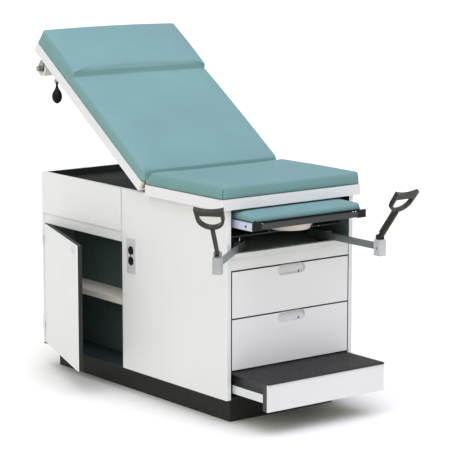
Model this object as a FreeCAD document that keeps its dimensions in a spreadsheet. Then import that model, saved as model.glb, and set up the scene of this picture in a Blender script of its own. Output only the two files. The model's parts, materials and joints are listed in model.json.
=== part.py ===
"""Examination table: a steel cabinet with drawers, door, pull-out step and leg rest, a hinged padded back,
two swinging stirrups and a paper roll, as separate pieces in one frame.

Millimetres. +Z is up, the foot end faces -Y and the door side faces -X. The origin is on the floor, in the
middle of the cabinet. The pieces stand with the back raised, the door ajar, the step and leg rest pulled
out and the near stirrup swung out.
"""
import math
import os
import re

import FreeCAD
import Part
from FreeCAD import Placement, Rotation, Vector

SIZES = {
    # cabinet shell
    "cabinet_width": 590.0,
    "cabinet_length": 1208.0,
    "cabinet_base": 96.0,
    "cabinet_top": 786.0,
    "panel_thick": 20.0,
    "head_thick": 14.0,
    "front_thick": 18.0,
    "panel_skin": 1.2,
    "panel_round": 5.0,
    "door_side_round": 12.0,
    "floor_thick": 6.0,
    "floor_inset": 2.0,
    "plinth_width": 482.0,
    "plinth_front_inset": 49.0,
    "plinth_head_inset": 36.0,
    "plinth_wall": 3.0,
    "running_gap": 0.3,
    "seam_gap": 0.6,
    # openings of the shell
    "door_opening": 539.0,
    "near_apron_height": 204.0,
    "side_band_height": 41.0,
    "side_band_depth": 4.0,
    "opening_height": 161.0,
    "front_apron_height": 59.5,
    "front_band_height": 43.0,
    "front_band_depth": 3.0,
    "front_gap": 4.5,
    # inner walls
    "bay_drop": 13.0,
    "sheet_thick": 6.0,
    "partition_thick": 12.0,
    "cupboard_depth": 126.0,
    "shelf_rise": 254.0,
    "shelf_thick": 4.0,
    "shelf_lip": 23.0,
    "shelf_inset": 33.0,
    "deck_drop": 26.0,
    "deck_front_gap": 4.0,
    # socket outlet on the near side
    "outlet_setback": 69.0,
    "outlet_drop": 248.0,
    "outlet_plate_width": 57.0,
    "outlet_plate_height": 132.0,
    "outlet_plate_thick": 2.5,
    "outlet_box_width": 48.0,
    "outlet_box_height": 104.0,
    "outlet_box_depth": 42.0,
    "receptacle_radius": 17.0,
    "receptacle_height": 28.5,
    "receptacle_spacing": 39.0,
    "receptacle_proud": 1.0,
    # seat section
    "top_width": 644.0,
    "seat_overhang": 10.0,
    "seat_length": 472.0,
    "pan_depth": 39.0,
    "pan_corner": 7.0,
    "pan_skin": 1.5,
    "cushion_thick": 49.0,
    "cushion_crown": 4.0,
    "cushion_inset": 1.0,
    "cushion_draw": 4.0,
    "cushion_roll": 16.0,
    "cushion_end_roll": 14.0,
    "soft_gap": 0.3,
    # back section, level with the seat when it lies flat
    "back_angle": 33.9,
    "back_length": 850.0,
    "back_rest_gap": 0.5,
    "pillow_length": 272.0,
    "pillow_extra": 6.0,
    "crease_half": 12.0,
    "crease_depth": 10.0,
    "crotch_slope": 0.85,
    # hinges of the back
    "hinge_half_gap": 5.0,
    "hinge_rise": 11.0,
    "hinge_barrel": 4.5,
    "hinge_pin": 2.5,
    "pin_clearance": 0.05,
    "hinge_leaf_thick": 2.5,
    "hinge_leaf_drop": 36.0,
    "hinge_leaf_clear": 2.0,
    "hinge_inset": 52.0,
    "hinge_length": 80.0,
    "knuckle_length": 20.0,
    "knuckle_gap": 0.2,
    # paper roll under the head end
    "roll_radius": 30.0,
    "roll_inset": 42.0,
    "roll_core": 18.0,
    "roll_setback": 34.0,
    "roll_drop": 120.0,
    "bracket_thick": 6.0,
    "bracket_width": 24.0,
    "bracket_clear": 4.0,
    "spindle_radius": 6.0,
    "spindle_cap": 11.0,
    "spindle_cap_length": 8.0,
    # release handle under the near edge of the back
    "handle_setback": 190.0,
    "handle_inset": 6.0,
    "handle_drop": 8.0,
    "handle_length": 86.0,
    "handle_neck": 4.5,
    "handle_neck_length": 14.4,
    "handle_throat": 6.3,
    "handle_throat_drop": 25.3,
    "handle_shoulder": 11.5,
    "handle_shoulder_drop": 35.0,
    "handle_cheek": 17.7,
    "handle_cheek_drop": 46.5,
    "handle_bulb": 20.0,
    "handle_bulb_drop": 60.0,
    "handle_belly": 15.9,
    "handle_belly_drop": 75.0,
    "handle_eye": 6.0,
    "handle_eye_width": 7.0,
    "clevis_cheek": 3.5,
    "clevis_width": 14.0,
    "clevis_bridge": 1.0,
    # door, hinged at the head end
    "door_open": 19.5,
    "door_axis_out": 5.0,
    "door_gap": 2.0,
    "door_skin": 4.0,
    "door_thick": 20.0,
    "door_hinge_low": 54.0,
    "door_hinge_high": 82.0,
    "door_knuckle": 30.0,
    "door_leaf_width": 13.0,
    "door_leaf_thick": 2.0,
    "door_pull_width": 46.0,
    "door_pull_height": 28.0,
    "door_pull_thick": 2.0,
    "door_pull_inset": 36.0,
    "door_pull_drop": 9.0,
    # drawers
    "upper_drawer_height": 168.5,
    "drawer_side_room": 25.0,
    "drawer_box_length": 434.0,
    "drawer_wall": 10.0,
    "drawer_box_low": 12.0,
    "drawer_box_high": 26.0,
    "pull_width": 129.0,
    "pull_height": 37.0,
    "pull_depth": 11.0,
    "pull_wall": 2.0,
    "pull_offset": 3.5,
    # slides: channels on the cabinet, runners on what slides
    "channel_web": 4.0,
    "channel_height": 44.0,
    "channel_depth": 16.0,
    "channel_length": 466.0,
    "channel_setback": 2.0,
    "runner_height": 30.0,
    # step
    "step_out": 206.0,
    "step_overlap": 4.0,
    "step_height": 98.0,
    "step_clear": 6.0,
    "step_skin": 6.0,
    "step_front_thick": 28.0,
    "step_side_room": 27.0,
    "step_box_length": 340.0,
    "step_box_rise": 20.0,
    "step_wall": 8.0,
    "step_runner_rise": 10.0,
    "step_runner_length": 420.0,
    "tread_thick": 7.0,
    "tread_nose": 3.0,
    "tread_rib_pitch": 12.0,
    "tread_rib_width": 7.0,
    "tread_rib_height": 1.5,
    # leg rest
    "leg_out": 109.0,
    "leg_drop": 36.0,
    "leg_bar_side_room": 53.0,
    "leg_bar_thick": 14.0,
    "leg_bar_drop": 6.0,
    "leg_bar_height": 20.0,
    "leg_block_side_room": 14.0,
    "leg_block_length": 7.0,
    "leg_block_height": 29.0,
    "rail_drop": 3.0,
    "rail_side_room": 15.5,
    "rail_width": 16.0,
    "rail_height": 27.0,
    "rail_length": 480.0,
    "rail_channel_lip": 1.0,
    "rail_channel_flange": 5.5,
    "rail_channel_setback": 56.0,
    "leg_board_length": 384.0,
    "leg_board_rise": 7.0,
    "leg_board_flange": 8.0,
    "leg_board_drop": 20.0,
    "leg_pad_side_room": 29.0,
    "leg_pad_length": 385.0,
    "leg_pad_thick": 15.0,
    # treatment pan
    "basin_half": 95.0,
    "basin_shift": 34.0,
    "basin_rim": 10.0,
    "basin_drop": 28.0,
    "basin_depth": 38.0,
    "basin_wall": 3.0,
    "basin_taper": 16.0,
    "basin_out": 36.0,
    "basin_length": 310.0,
    "basin_rib": 6.0,
    "basin_rib_gap": 3.0,
    "basin_clear": 4.0,
    "basin_shelf_thick": 4.0,
    "basin_shelf_setback": 44.0,
    "basin_shelf_length": 260.0,
    # stirrups
    "stirrup_side_room": 75.0,
    "stirrup_setback": 48.0,
    "near_swing": 50.0,
    "far_swing": 0.0,
    "near_out": 50.0,
    "far_out": 0.0,
    "pivot_radius": 12.0,
    "pivot_flange": 24.0,
    "pivot_flange_thick": 5.0,
    "guide_half": 13.0,
    "guide_front": 24.0,
    "guide_rear": 40.0,
    "guide_top": 6.0,
    "arm_half": 4.0,
    "arm_clear": 2.0,
    "arm_height": 25.0,
    "arm_tail": 90.0,
    "arm_reach": 286.0,
    "block_half": 15.5,
    "block_length": 34.0,
    "block_below": 20.0,
    "block_above": 13.0,
    "block_round": 2.0,
    "bolt_radius": 4.0,
    "bolt_depth": 3.0,
    "foot_axis_rise": 11.0,
    "foot_pin": 4.0,
    "foot_eye": 9.0,
    "foot_eye_half": 6.7,
    "ear_thick": 6.0,
    "ear_half": 9.0,
    "foot_lean": 38.4,
    "stem_clear": 3.0,
    "stem_length": 134.0,
    "stem_half": 4.0,
    "stem_thick": 25.0,
    "stem_root_thick": 14.0,
    "loop_half": 48.5,
    "loop_base": 132.0,
    "loop_horn_half": 51.0,
    "loop_top": 229.0,
    "loop_sag": 11.0,
    "loop_thick": 16.0,
    "window_half": 39.0,
    "window_base": 141.5,
    "window_top": 198.0,
}

doc = FreeCAD.newDocument("ExaminationTable")
sheet = doc.addObject("Spreadsheet::Sheet", "Sizes")
for row, (alias, number) in enumerate(SIZES.items(), start=1):
    sheet.set(f"A{row}", alias)
    sheet.set(f"B{row}", str(number))
    sheet.setAlias(f"B{row}", alias)
doc.recompute()

WORD = re.compile(r"[a-z][a-z_]+")
SIDES = {"near": -1, "far": 1}
ALONG = {"x": Rotation(Vector(0, 1, 0), 90), "y": Rotation(Vector(1, 0, 0), -90), "z": Rotation()}
DIAGONAL = math.sqrt(0.5)
pieces = []

# Shape of a cushion's edges: the turns of a rolled end in degrees, how far its corners draw in, the most of
# its height that a side roll takes and of its side that the draw takes, the part of a slope that its knee
# takes, and the steps of a crease.
END_TURNS = (10, 35, 60, 90)
CORNER_DRAW = 0.5
MOST_ROLL = 0.6
MOST_DRAW = 0.25
KNEE = 0.3
KNEE_STEPS = (0, 0.5, 1)
LEAST_CROWN = 0.2
CREASE_STEPS = (-1, -0.5, 0, 0.5, 1)

# Places that several pieces share, as expressions of the sheet.
HALF = "(cabinet_width / 2)"
INNER = "(cabinet_width / 2 - panel_thick)"
FOOT = "(-cabinet_length / 2)"
HEAD = "(cabinet_length / 2)"
HEAD_INNER = "(cabinet_length / 2 - head_thick)"
FRONT_REAR = "(front_thick - cabinet_length / 2)"
DOOR_EDGE = f"({HEAD_INNER} - door_opening)"
DOOR_TOP = "(cabinet_top - near_apron_height)"
OPENING = "(cabinet_top - opening_height)"
APRON_LOW = f"({OPENING} - front_apron_height)"
BAY_FLOOR = f"({OPENING} - bay_drop)"
DECK = "(cabinet_top - deck_drop)"
DECK_LOW = f"({DECK} - sheet_thick)"
LINER_FACE = f"(cupboard_depth - {INNER})"
SHELF = "(cabinet_base + shelf_rise)"
OUTLET_Y = f"({DOOR_EDGE} - outlet_setback)"
OUTLET_Z = "(cabinet_top - outlet_drop)"
SEAT_FRONT = f"({FOOT} - seat_overhang)"
SEAT_REAR = f"({SEAT_FRONT} + seat_length)"
SEAT_TOP = "(cabinet_top + pan_depth)"
HINGE_Y = f"({SEAT_REAR} + hinge_half_gap)"
HINGE_Z = f"({SEAT_TOP} + hinge_rise)"
HINGE_X = "(top_width / 2 - hinge_inset)"
STEP_FRONT = f"({FOOT} - step_out)"
STEP_REAR = f"({STEP_FRONT} + step_front_thick)"
STEP_LOW = "(cabinet_base - step_overlap)"
STEP_TOP = f"({STEP_LOW} + step_height)"
STEP_BOX = f"({INNER} - step_side_room)"
STEP_RUNNER = f"({STEP_LOW} + step_box_rise + step_runner_rise)"
DRAWER_BOX = f"({INNER} - drawer_side_room)"
DRAWER_TOP = f"({APRON_LOW} - front_gap)"
DRAWER_SPLIT = f"({DRAWER_TOP} - upper_drawer_height)"
DRAWERS = {"upper": (DRAWER_SPLIT, DRAWER_TOP),
           "lower": (f"({STEP_TOP} + tread_thick + step_clear)", f"({DRAWER_SPLIT} - front_gap)")}
LEG_FRONT = f"({FOOT} - leg_out)"
LEG_TOP = "(cabinet_top - leg_drop)"
LEG_BAR = f"({INNER} - leg_bar_side_room)"
BOARD_TOP = f"({LEG_TOP} + leg_board_rise)"
RAIL_START = f"({LEG_FRONT} + leg_block_length)"
RAIL_HIGH = f"({LEG_TOP} - rail_drop)"
RAIL_LOW = f"({RAIL_HIGH} - rail_height)"
RAIL_OUTER = f"({INNER} - rail_side_room)"
RAIL_INNER = f"({RAIL_OUTER} - rail_width)"
BASIN_TOP = f"({LEG_TOP} - basin_drop)"
BASIN_SHELF = f"({BASIN_TOP} - basin_depth - basin_clear)"
STIRRUP_X = f"({INNER} - stirrup_side_room)"
STIRRUP_Y = f"({FOOT} + stirrup_setback)"
ARM_LOW = f"({OPENING} + arm_clear)"
ARM_HIGH = f"({ARM_LOW} + arm_height)"

# Places on the back, drawn flat with the hinge line as its origin.
BACK_TOP = "(-hinge_rise)"
BACK_LOW = "(back_rest_gap - pan_depth - hinge_rise)"
BACK_END = "(hinge_half_gap + back_length)"
ROLL_HALF = "(top_width / 2 - roll_inset)"
ROLL_Y = f"({BACK_END} - roll_setback)"
HANDLE_X = "(handle_inset - top_width / 2)"
HANDLE_Y = f"({BACK_END} - handle_setback)"
HANDLE_Z = f"({BACK_LOW} - handle_drop)"


def size(name):
    """A driving dimension, read from the sheet."""
    return float(sheet.get(name))


def bind(item, prop, text):
    """Binds a property to an expression whose plain words are names in the sheet."""
    item.setExpression(prop, WORD.sub(lambda m: "Sizes." + m[0] if m[0] in SIZES else m[0], text))


def sided(side, inner, outer):
    """The span between two distances from the middle plane, on the near (-X) or far (+X) side."""
    return (f"-({outer})", f"-({inner})") if side < 0 else (inner, outer)


def symmetric(text):
    """A span centred on zero."""
    return (f"-({text})", text)


def around(middle, text):
    """A span centred on a place, given its whole width."""
    return (f"{middle} - ({text}) / 2", f"{middle} + ({text}) / 2")


def new_body(label, keep=True):
    """An empty body. A kept one is a piece of its own, the others are gathered into groups."""
    body = doc.addObject("PartDesign::Body", label)
    body.Label = label
    if keep:
        pieces.append(body)
    return body


def box(body, x, y, z, cut=False):
    """Adds or cuts a box given as low and high expressions along each axis."""
    item = body.newObject("PartDesign::SubtractiveBox" if cut else "PartDesign::AdditiveBox", "Box")
    for prop, axis, (low, high) in zip(("Length", "Width", "Height"), "xyz", (x, y, z)):
        bind(item, prop, f"({high}) - ({low})")
        bind(item, f"Placement.Base.{axis}", low)
    return item


def hollow(body, x, y, z, skin):
    """Cuts the sealed space inside a double-walled panel, a skin inside the given spans."""
    box(body, *[(f"{low} + {skin}", f"{high} - {skin}") for low, high in (x, y, z)], cut=True)


def rod(body, axis, radius, start, length, cut=False):
    """Adds or cuts a round bar that starts at a point and runs along an axis."""
    kind = "PartDesign::SubtractiveCylinder" if cut else "PartDesign::AdditiveCylinder"
    item = body.newObject(kind, "Rod")
    item.Placement = Placement(Vector(), ALONG[axis])
    bind(item, "Radius", radius)
    bind(item, "Height", length)
    for name, text in zip("xyz", start):
        bind(item, f"Placement.Base.{name}", text)
    return item


def round_uprights(body, base, radius, choose=lambda at, middle: True):
    """Rounds the upright edges of a feature that a test of their place against its middle picks."""
    doc.recompute()
    middle = base.Shape.BoundBox.Center
    names = []
    for number, edge in enumerate(base.Shape.Edges, start=1):
        if abs(edge.tangentAt(edge.FirstParameter).z) > DIAGONAL and choose(edge.CenterOfMass, middle):
            names.append(f"Edge{number}")
    item = body.newObject("PartDesign::Fillet", "Round")
    item.Base = (base, names)
    bind(item, "Radius", radius)
    return item


def sketch_on(body, role, curves):
    """A sketch of closed outlines on one of the body's own planes."""
    sketch = body.newObject("Sketcher::SketchObject", "Outline")
    plane = [item for item in body.Origin.OriginFeatures if item.Role == role][0]
    sketch.AttachmentSupport = [(plane, "")]
    sketch.MapMode = "FlatFace"
    for curve in curves:
        sketch.addGeometry(curve)
    doc.recompute()
    return sketch


def line(start, end):
    """A straight edge of a sketch."""
    return Part.LineSegment(Vector(*start, 0), Vector(*end, 0))


def arc(start, through, end):
    """A round edge of a sketch, through a third point."""
    return Part.Arc(Vector(*start, 0), Vector(*through, 0), Vector(*end, 0))


def lower_half(radius, level):
    """The lower half of a circle about a place on a sketch's upright axis, in two quarters."""
    slant = radius * DIAGONAL
    bottom = (0, level - radius)
    return [arc((-radius, level), (-slant, level - slant), bottom),
            arc(bottom, (slant, level - slant), (radius, level))]


def group(label, members):
    """Like pieces that share a node, as separate solids."""
    item = doc.addObject("Part::Compound", label)
    item.Label = label
    item.Links = members
    pieces.append(item)


def place_at(item, x, y, z):
    """Moves a piece drawn about its own origin to its place."""
    bind(item, "Placement", f"placement(vector({x}; {y}; {z}); rotation(0; 0; 0))")


def tilt_with_back(item):
    """Places a piece drawn flat, with the hinge line as its origin, on the raised back."""
    bind(item, "Placement", f"placement(vector(0; {HINGE_Y}; {HINGE_Z}); rotation(0; 0; back_angle))")


def make_shell():
    """Base, floor, outer panels and aprons of the cabinet."""
    plinth = new_body("base_plinth")
    plinth_y = (f"{FOOT} + plinth_front_inset", f"{HEAD} - plinth_head_inset")
    plinth_top = "cabinet_base - floor_thick"
    box(plinth, symmetric("plinth_width / 2"), plinth_y, ("0", plinth_top))
    box(plinth, symmetric("plinth_width / 2 - plinth_wall"),
        (f"{plinth_y[0]} + plinth_wall", f"{plinth_y[1]} - plinth_wall"), ("plinth_wall", plinth_top),
        cut=True)

    floor = new_body("cabinet_floor")
    box(floor, symmetric(f"{HALF} - floor_inset"),
        (f"{FOOT} + step_front_thick + floor_inset", f"{HEAD} - floor_inset"), (plinth_top, "cabinet_base"))

    full_height = ("cabinet_base", "cabinet_top")
    near_x = (f"-{HALF}", f"-{INNER}")
    near = new_body("near_panel")
    slab = box(near, near_x, (FOOT, DOOR_EDGE), full_height)
    front = round_uprights(near, slab, "panel_round",
                           lambda at, middle: at.x < middle.x and at.y < middle.y)
    round_uprights(near, front, "door_side_round",
                   lambda at, middle: at.x < middle.x and at.y > middle.y)
    cut_y = around(OUTLET_Y, "outlet_box_width")
    box(near, near_x, cut_y, around(OUTLET_Z, "outlet_box_height"), cut=True)
    hollow(near, near_x, (f"{FOOT} + panel_round", cut_y[0]), full_height, "panel_skin")

    apron = new_body("near_apron")
    apron_y = (f"{DOOR_EDGE} + seam_gap", HEAD_INNER)
    box(apron, near_x, apron_y, (DOOR_TOP, "cabinet_top"))
    box(apron, (f"-{HALF}", f"-{HALF} + side_band_depth"), apron_y,
        (DOOR_TOP, f"{DOOR_TOP} + side_band_height"), cut=True)
    hollow(apron, (f"-{HALF} + side_band_depth", f"-{INNER}"), apron_y, (DOOR_TOP, "cabinet_top"),
           "panel_skin")

    far = new_body("far_panel")
    slab = box(far, (INNER, HALF), (FOOT, HEAD_INNER), full_height)
    round_uprights(far, slab, "panel_round", lambda at, middle: at.x > middle.x and at.y < middle.y)
    hollow(far, (INNER, HALF), (f"{FOOT} + panel_round", HEAD_INNER), full_height, "panel_skin")

    head = new_body("head_panel")
    slab = box(head, symmetric(HALF), (HEAD_INNER, HEAD), full_height)
    round_uprights(head, slab, "panel_round", lambda at, middle: at.y > middle.y)
    hollow(head, symmetric(f"{HALF} - panel_round"), (HEAD_INNER, HEAD), full_height, "panel_skin")

    front = new_body("front_apron")
    box(front, symmetric(INNER), (FOOT, FRONT_REAR), (APRON_LOW, OPENING))
    box(front, symmetric(INNER), (FOOT, f"{FOOT} + front_band_depth"),
        (APRON_LOW, f"{APRON_LOW} + front_band_height"), cut=True)


def make_inner_walls():
    """Floor of the foot-end bay, walls, shelf and the dark deck under the back."""
    wall_y = f"{DOOR_EDGE} - partition_thick"
    cupboard_y = (DOOR_EDGE, HEAD_INNER)
    bay = new_body("bay_floor")
    box(bay, symmetric(INNER), (FRONT_REAR, wall_y), (f"{BAY_FLOOR} - sheet_thick", BAY_FLOOR))

    partition = new_body("partition")
    box(partition, symmetric(INNER), (wall_y, DOOR_EDGE), ("cabinet_base", DECK_LOW))

    liner = new_body("liner_wall")
    box(liner, (LINER_FACE, f"{LINER_FACE} + sheet_thick"), cupboard_y, ("cabinet_base", DECK_LOW))

    shelf = new_body("shelf")
    shelf_front = f"-{HALF} + shelf_inset"
    box(shelf, (shelf_front, LINER_FACE), cupboard_y, (f"{SHELF} - shelf_thick", SHELF))
    box(shelf, (shelf_front, f"{shelf_front} + shelf_thick"), cupboard_y, (f"{SHELF} - shelf_lip", SHELF))

    deck = new_body("top_deck")
    box(deck, symmetric(INNER), (f"{SEAT_REAR} + deck_front_gap", HEAD_INNER), (DECK_LOW, DECK))


def make_outlet():
    """Socket outlet: steel plate, two receptacles and the box behind them."""
    plate = new_body("outlet_plate")
    box(plate, (f"-{HALF} - outlet_plate_thick", f"-{HALF}"), around(OUTLET_Y, "outlet_plate_width"),
        around(OUTLET_Z, "outlet_plate_height"))
    members = []
    reach = "(panel_thick + outlet_plate_thick + receptacle_proud)"
    for row_z in around(OUTLET_Z, "receptacle_spacing"):
        start = (f"-{INNER} - {reach}", OUTLET_Y, row_z)
        rod(plate, "x", "receptacle_radius + running_gap", start, reach, cut=True)
        receptacle = new_body("receptacle", keep=False)
        rod(receptacle, "x", "receptacle_radius", start, reach)
        for low, high in (("receptacle_height / 2", "2 * receptacle_radius"),
                          ("-2 * receptacle_radius", "-receptacle_height / 2")):
            box(receptacle, (start[0], f"-{INNER}"), around(OUTLET_Y, "4 * receptacle_radius"),
                (f"{row_z} + {low}", f"{row_z} + {high}"), cut=True)
        members.append(receptacle)
    group("receptacles", members)

    outlet_box = new_body("outlet_box")
    box(outlet_box, (f"-{INNER}", f"-{INNER} + outlet_box_depth"), around(OUTLET_Y, "outlet_box_width"),
        around(OUTLET_Z, "outlet_box_height"))


def make_top_pan(label, y, z):
    """A closed steel tray that carries a cushion."""
    pan = new_body(label)
    slab = box(pan, symmetric("top_width / 2"), y, z)
    round_uprights(pan, slab, "pan_corner")
    hollow(pan, symmetric("top_width / 2"), (f"{y[0]} + pan_corner", f"{y[1]} - pan_corner"), z, "pan_skin")
    return pan


def cushion_section(station, half, rise, crown):
    """One cross-section of a cushion: flat base, drawn-in sides, rolled edges and a crowned top."""
    roll = min(size("cushion_roll"), rise * MOST_ROLL)
    side = rise - roll
    draw = min(size("cushion_draw"), side * MOST_DRAW)
    corner = roll * (1 - DIAGONAL)

    def at(x, z):
        return Vector(x, station, z)

    right = [at(half - draw, 0), at(half + draw / 2, side / 2), at(half, side),
             at(half - corner, rise - corner), at(half - roll, rise)]
    left = [Vector(-p.x, p.y, p.z) for p in reversed(right)]
    return Part.Wire([
        Part.Arc(right[0], right[1], right[2]).toShape(),
        Part.Arc(right[2], right[3], right[4]).toShape(),
        Part.Arc(right[4], at(0, rise + crown), left[0]).toShape(),
        Part.Arc(left[0], left[1], left[2]).toShape(),
        Part.Arc(left[2], left[3], left[4]).toShape(),
        Part.LineSegment(left[4], right[0]).toShape(),
    ])


def rolled_end(edge, inward, rise):
    """Stations of a cushion's rolled end, from its edge inwards: place, inset, height and crown."""
    roll = min(size("cushion_end_roll"), rise * MOST_ROLL)
    stations = []
    for turn in END_TURNS:
        lift = math.sin(math.radians(turn))
        run = roll * (1 - math.cos(math.radians(turn)))
        drop = roll * (1 - lift)
        stations.append((edge + inward * run, drop * CORNER_DRAW, rise - drop, size("cushion_crown") * lift))
    return stations


def sloped_end(edge, inward, low, rise):
    """Stations of a cushion's end that slopes up from a low edge and bends over a round knee."""
    roll, crown = size("cushion_end_roll"), size("cushion_crown")
    reach = (rise - low) * size("crotch_slope")
    stations = [(edge, roll * CORNER_DRAW, low, crown * LEAST_CROWN)]
    for step in KNEE_STEPS:
        before, after = (1 - step) ** 2, step ** 2
        run = reach - before * reach * KNEE + after * roll
        drop = before * (rise - low) * KNEE
        stations.append((edge + inward * run, roll * CORNER_DRAW * before * KNEE, rise - drop,
                         crown * max(step, LEAST_CROWN)))
    return stations


def crease(middle, before, after):
    """Stations across a sewn crease between two heights of a cushion."""
    stations = []
    for step in CREASE_STEPS:
        dip = (1 + math.cos(math.pi * step)) / 2
        rise = before + (after - before) * (step + 1) / 2 - size("crease_depth") * dip
        stations.append((middle + step * size("crease_half"), size("crease_depth") * CORNER_DRAW * dip, rise,
                         size("cushion_crown") * max(1 - dip, LEAST_CROWN)))
    return stations


def soft_piece(label, stations, half):
    """A cushion lofted through its cross-sections, which stand on the level of its own origin."""
    wires = [cushion_section(place, half - inset, rise, crown) for place, inset, rise, crown in stations]
    item = doc.addObject("Part::Feature", label)
    item.Label = label
    item.Shape = Part.makeLoft(wires, True, True)
    pieces.append(item)
    return item


def make_seat():
    """Seat tray and its cushion, whose rear end slopes so that the back can rise."""
    make_top_pan("seat_pan", (SEAT_FRONT, SEAT_REAR), ("cabinet_top", SEAT_TOP))
    thick, low = size("cushion_thick"), size("hinge_rise") - size("soft_gap")
    rear = sloped_end(size("seat_length") - size("soft_gap"), -1, low, thick)
    stations = rolled_end(size("cushion_inset"), 1, thick) + rear[::-1]
    cushion = soft_piece("seat_cushion", stations, size("top_width") / 2 - size("cushion_inset"))
    place_at(cushion, "0", SEAT_FRONT, f"{SEAT_TOP} + soft_gap")


def make_back():
    """Back tray and its cushion with the raised head pillow, drawn flat and turned up about the hinge."""
    pan = make_top_pan("back_pan", ("hinge_half_gap", BACK_END), (BACK_LOW, BACK_TOP))
    tilt_with_back(pan)
    thick, low = size("cushion_thick"), size("hinge_rise") - size("soft_gap")
    pillow = thick + size("pillow_extra")
    end = size("back_length")
    head = rolled_end(end - size("cushion_inset"), -1, pillow)
    stations = sloped_end(size("soft_gap"), 1, low, thick)
    stations += crease(end - size("pillow_length"), thick, pillow) + head[::-1]
    cushion = soft_piece("back_cushion", stations, size("top_width") / 2 - size("cushion_inset"))
    bind(cushion, "Placement", f"placement(vector(0; {HINGE_Y}; {HINGE_Z}); rotation(0; 0; back_angle))"
         f" * placement(vector(0; hinge_half_gap; {BACK_TOP} + soft_gap); rotation(0; 0; 0))")


def make_back_hinges():
    """Two butt hinges in the crotch: leaves on the seat, leaves on the back, and their pins."""
    seat_leaves, back_leaves, pins = [], [], []
    low, high = around(HINGE_X, "hinge_length")
    leaf_z = ("-hinge_leaf_drop", "-hinge_barrel - hinge_leaf_clear")
    for side in SIDES.values():
        whole = sided(side, low, high)
        seat = new_body("seat_leaf", keep=False)
        seat_y = ("-hinge_half_gap", "hinge_leaf_thick - hinge_half_gap")
        box(seat, whole, seat_y, leaf_z)
        for inner in (low, f"{high} - knuckle_length"):
            span = sided(side, inner, f"{inner} + knuckle_length")
            box(seat, span, seat_y, ("-hinge_leaf_drop", "0"))
            rod(seat, "x", "hinge_barrel", (span[0], "0", "0"), "knuckle_length")
        rod(seat, "x", "hinge_pin", (whole[0], "0", "0"), "hinge_length", cut=True)
        place_at(seat, "0", HINGE_Y, HINGE_Z)
        seat_leaves.append(seat)

        back = new_body("back_leaf", keep=False)
        back_y = ("hinge_half_gap - hinge_leaf_thick", "hinge_half_gap")
        box(back, whole, back_y, leaf_z)
        inset = "(knuckle_length + knuckle_gap)"
        span = sided(side, f"{low} + {inset}", f"{high} - {inset}")
        box(back, span, back_y, ("-hinge_leaf_drop", "0"))
        rod(back, "x", "hinge_barrel", (span[0], "0", "0"), f"hinge_length - 2 * {inset}")
        rod(back, "x", "hinge_pin + pin_clearance", (whole[0], "0", "0"), "hinge_length", cut=True)
        tilt_with_back(back)
        back_leaves.append(back)

        pin = new_body("pin", keep=False)
        rod(pin, "x", "hinge_pin", (whole[0], HINGE_Y, HINGE_Z), "hinge_length")
        pins.append(pin)
    group("seat_hinge_leaves", seat_leaves)
    group("back_hinge_leaves", back_leaves)
    group("back_hinge_pins", pins)


def make_paper_roll():
    """Paper roll on a spindle between two brackets under the head end of the back."""
    brackets = []
    bracket_inner = f"({ROLL_HALF} + bracket_clear)"
    bracket_outer = f"({bracket_inner} + bracket_thick)"
    for side in SIDES.values():
        bracket = new_body("roll_bracket", keep=False)
        span = sided(side, bracket_inner, bracket_outer)
        centre = (span[0], ROLL_Y, "-roll_drop")
        box(bracket, span, around(ROLL_Y, "bracket_width"), ("-roll_drop", BACK_LOW))
        rod(bracket, "x", "bracket_width / 2", centre, "bracket_thick")
        rod(bracket, "x", "spindle_radius + pin_clearance", centre, "bracket_thick", cut=True)
        tilt_with_back(bracket)
        brackets.append(bracket)
    group("back_brackets", brackets + [make_clevis()])

    spindle = new_body("roll_spindle")
    cap_start = f"({bracket_outer} + running_gap)"
    rod(spindle, "x", "spindle_radius", (f"-{cap_start}", ROLL_Y, "-roll_drop"), f"2 * {cap_start}")
    rod(spindle, "x", "roll_core", (f"-{ROLL_HALF}", ROLL_Y, "-roll_drop"), f"2 * {ROLL_HALF}")
    for start in (f"-{cap_start} - spindle_cap_length", cap_start):
        rod(spindle, "x", "spindle_cap", (start, ROLL_Y, "-roll_drop"), "spindle_cap_length")
    tilt_with_back(spindle)

    roll = new_body("paper_roll")
    rod(roll, "x", "roll_radius", (f"-{ROLL_HALF}", ROLL_Y, "-roll_drop"), f"2 * {ROLL_HALF}")
    rod(roll, "x", "roll_core", (f"-{ROLL_HALF}", ROLL_Y, "-roll_drop"), f"2 * {ROLL_HALF}", cut=True)
    tilt_with_back(roll)


def make_clevis():
    """Clevis with a pin under the near edge of the back, from which the release handle hangs."""
    clevis = new_body("handle_clevis", keep=False)
    slot = "(handle_eye_width + 2 * running_gap)"
    inside = around(HANDLE_X, slot)
    cheek_y = around(HANDLE_Y, "clevis_width")
    box(clevis, inside, cheek_y, (f"{BACK_LOW} - clevis_bridge", BACK_LOW))
    for span in ((f"{inside[0]} - clevis_cheek", inside[0]), (inside[1], f"{inside[1]} + clevis_cheek")):
        box(clevis, span, cheek_y, (f"{HANDLE_Z} - clevis_width / 2", BACK_LOW))
    rod(clevis, "x", "hinge_pin", (inside[0], HANDLE_Y, HANDLE_Z), slot)
    tilt_with_back(clevis)
    return clevis


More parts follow.
